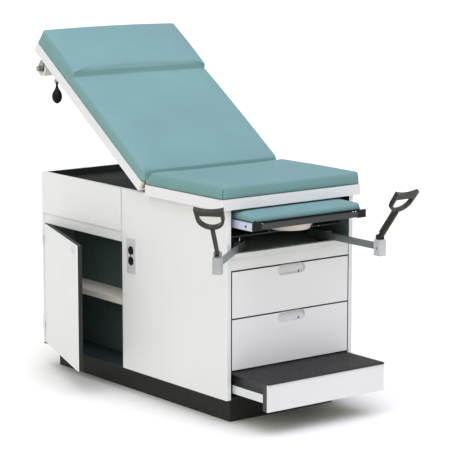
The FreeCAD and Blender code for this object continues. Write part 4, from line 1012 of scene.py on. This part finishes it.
class EXAMTABLE_OT_fittings(bpy.types.Operator):
    """Makes the small fittings: plug, rail hole, screws, pull catches, apron line, rivet and pin"""
    bl_idname = "exam_table.fittings"
    bl_label = "Small fittings"

    def execute(self, context):
        trim = context.scene.exam_table_trim
        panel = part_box("near_panel")[0].x + SUNK
        fastener("panel_plug", [(panel, *PLUG_PLACE)], "near", ("cabinet", "white_enamel", "satin_enamel"),
                 radius=trim.plug, height=1.2 * MM, dome=0.6 * MM)

        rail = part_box("leg_rest_rails")[0].x + SUNK
        tab("rail_hole", (rail, *RAIL_HOLE_PLACE), "near", ("leg_rest", "black_plastic", "black_mould"),
            width=trim.rail_hole, rise=trim.rail_hole, depth=0.3 * MM, radius=0.8 * MM)

        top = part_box("leg_rest_bar")[1].z - 2 * SUNK
        places = [(x, middle("leg_rest_bar").y, top) for x in BAR_SCREWS]
        fastener("bar_screws", places, "up", ("leg_rest", "chrome", "plated_chrome"),
                 radius=trim.screw, height=2.6 * MM, dome=1.2 * MM)

        for name in ("upper", "lower"):
            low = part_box(f"{name}_drawer_pull")[0]
            place = (CATCH_ACROSS, low.y + CATCH_INSET, low.z + CATCH_RISE)
            tab(f"{name}_pull_catch", place, "foot", (f"{name}_drawer", "black_plastic", "tray_mould"),
                width=trim.notch_width, rise=trim.notch, depth=trim.notch_depth, radius=MM)

        low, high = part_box("front_apron")
        place = (0, low.y + SUNK, APRON_LINE)
        tab("apron_line", place, "foot", ("cabinet", "white_enamel", "brushed_steel"),
            width=high.x - low.x - 2 * LINE_MARGIN, rise=MM, depth=0.3 * MM)

        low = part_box("treatment_pan_shelf")[0]
        place = (RIVET_ACROSS, low.y + SUNK, low.z + RIVET_RISE)
        fastener("shelf_rivet", [place], "foot", ("cabinet", "chrome", "plated_chrome"),
                 radius=trim.rivet, height=1.2 * MM, dome=0.8 * MM)

        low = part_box("far_stirrup_block")[0]
        place = (low.x + SUNK, middle("far_stirrup_block").y, low.z + trim.set_screw_rise)
        fastener("far_block_screw", [place], "near", ("far_arm", "bright_steel", "smoked_chrome"),
                 radius=trim.screw, height=1.2 * MM, dome=0.8 * MM)

        pivot = pivot_of("near_stirrup_swing")
        place = (pivot.x, pivot.y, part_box("near_stirrup_swivel")[1].z - MM)
        fastener("near_pivot_pin", [place], "up", ("near_swivel", "chrome", "plated_chrome"),
                 radius=trim.pivot_pin, height=trim.pin_height, dome=0.8 * MM)
        return {"FINISHED"}


# Stage

def seen_ray(tree):
    """One for what the camera sees, itself or in metal and glass."""
    path = add(tree, "ShaderNodeLightPath").outputs
    seen = reckon(tree, "ADD", path["Is Camera Ray"], path["Is Glossy Ray"])
    return reckon(tree, "ADD", seen, path["Is Transmission Ray"], use_clamp=True)


SENSOR_WIDTH = 36


class EXAMTABLE_OT_stage(bpy.types.Operator):
    """Makes the camera, the pale floor and the soft studio light"""
    bl_idname = "exam_table.stage"
    bl_label = "Stage"

    def execute(self, context):
        scene = context.scene
        stage = scene.exam_table_stage
        camera = bpy.data.objects.new("studio_camera", bpy.data.cameras.new("studio_camera"))
        camera.location = stage.eye
        camera.rotation_euler = (stage.pitch, 0, stage.yaw)
        camera.data.lens = stage.lens
        camera.data.sensor_width = SENSOR_WIDTH
        camera.data.sensor_fit = "HORIZONTAL"
        camera.data.clip_end = 4 * stage.reach
        scene.collection.objects.link(camera)
        scene.camera = camera

        self.lamp(scene, "key_light", stage.key, stage.key_aim, stage.light_spread, (1, 1, 1))
        self.lamp(scene, "top_light", stage.top, stage.top_aim, stage.light_spread, stage.top_tint)

        bm = bmesh.new()
        bmesh.ops.create_grid(bm, x_segments=1, y_segments=1, size=stage.reach)
        mesh = bpy.data.meshes.new("studio_floor")
        bm.to_mesh(mesh)
        bm.free()
        floor = bpy.data.objects.new("studio_floor", mesh)
        scene.collection.objects.link(floor)
        mesh.materials.append(self.floor_finish(stage))

        self.light_all_round(scene, stage)
        scene.view_settings.view_transform = "Standard"
        return {"FINISHED"}

    @staticmethod
    def lamp(scene, name, strength, aim, spread_angle, tint):
        """A broad soft lamp, far away in the given direction."""
        lamp = bpy.data.objects.new(name, bpy.data.lights.new(name, "SUN"))
        lamp.data.energy = strength
        lamp.data.angle = spread_angle
        lamp.data.color = tint
        lamp.rotation_euler = Vector(aim).to_track_quat("Z", "Y").to_euler()
        scene.collection.objects.link(lamp)

    @staticmethod
    def floor_finish(stage):
        """Pale matt floor that glows a little where nothing shades it."""
        finish, tree, shader = new_finish("pale_floor", Roughness=0.9, Specular_IOR_Level=0.0,
                                          Base_Color=(*stage.floor, 1), Emission_Color=(1, 1, 1, 1))
        open_sky = add(tree, "ShaderNodeAmbientOcclusion", {"Distance": stage.contact}).outputs["AO"]
        glow = reckon(tree, "MULTIPLY", reckon(tree, "MULTIPLY", open_sky, stage.lift), seen_ray(tree))
        tree.links.new(glow, shader.inputs["Emission Strength"])
        return finish

    @staticmethod
    def light_all_round(scene, stage):
        """White to the camera, and a softer fill for the light that falls on the table."""
        world = bpy.data.worlds.new("studio_light")
        scene.world = world
        world.use_nodes = True
        tree = world.node_tree
        tree.nodes.clear()
        fill = add(tree, "ShaderNodeBackground", {"Color": (*stage.fill_tint, 1), "Strength": stage.fill})
        white = add(tree, "ShaderNodeBackground", {"Color": (1, 1, 1, 1), "Strength": 1.0})
        both = add(tree, "ShaderNodeMixShader", {0: seen_ray(tree), 1: fill.outputs[0], 2: white.outputs[0]})
        add(tree, "ShaderNodeOutputWorld", {"Surface": both.outputs[0]})


class EXAMTABLE_PT_panel(bpy.types.Panel):
    """Lists the steps that dress the table and the sizes and colours they use"""
    bl_idname = "EXAMTABLE_PT_panel"
    bl_label = "Examination Table"
    bl_space_type = "VIEW_3D"
    bl_region_type = "UI"
    bl_category = "Exam Table"

    def draw(self, context):
        for step in STEPS:
            self.layout.operator(step.bl_idname)
        for name, group in GROUPS.items():
            box = self.layout.box()
            box.label(text=group.__doc__)
            for prop in group.__annotations__:
                box.prop(getattr(context.scene, name), prop)


GROUPS = {
    "exam_table_colours": TableColours,
    "exam_table_pads": TablePads,
    "exam_table_trim": TableTrim,
    "exam_table_stage": TableStage,
}
STEPS = (EXAMTABLE_OT_stage, EXAMTABLE_OT_finishes, EXAMTABLE_OT_cushions, EXAMTABLE_OT_outlet,
         EXAMTABLE_OT_fittings)


def register():
    """Registers the property groups, operators and panel."""
    for name, group in GROUPS.items():
        bpy.utils.register_class(group)
        setattr(bpy.types.Scene, name, PointerProperty(type=group))
    for step in STEPS:
        bpy.utils.register_class(step)
    bpy.utils.register_class(EXAMTABLE_PT_panel)


def unregister():
    """Removes what register added."""
    bpy.utils.unregister_class(EXAMTABLE_PT_panel)
    for step in reversed(STEPS):
        bpy.utils.unregister_class(step)
    for name, group in reversed(GROUPS.items()):
        delattr(bpy.types.Scene, name)
        bpy.utils.unregister_class(group)


def main():
    """Dresses the table step by step."""
    register()
    bpy.ops.exam_table.stage()
    bpy.ops.exam_table.finishes()
    bpy.ops.exam_table.cushions()
    bpy.ops.exam_table.outlet()
    bpy.ops.exam_table.fittings()


if __name__ == "__main__":
    main()
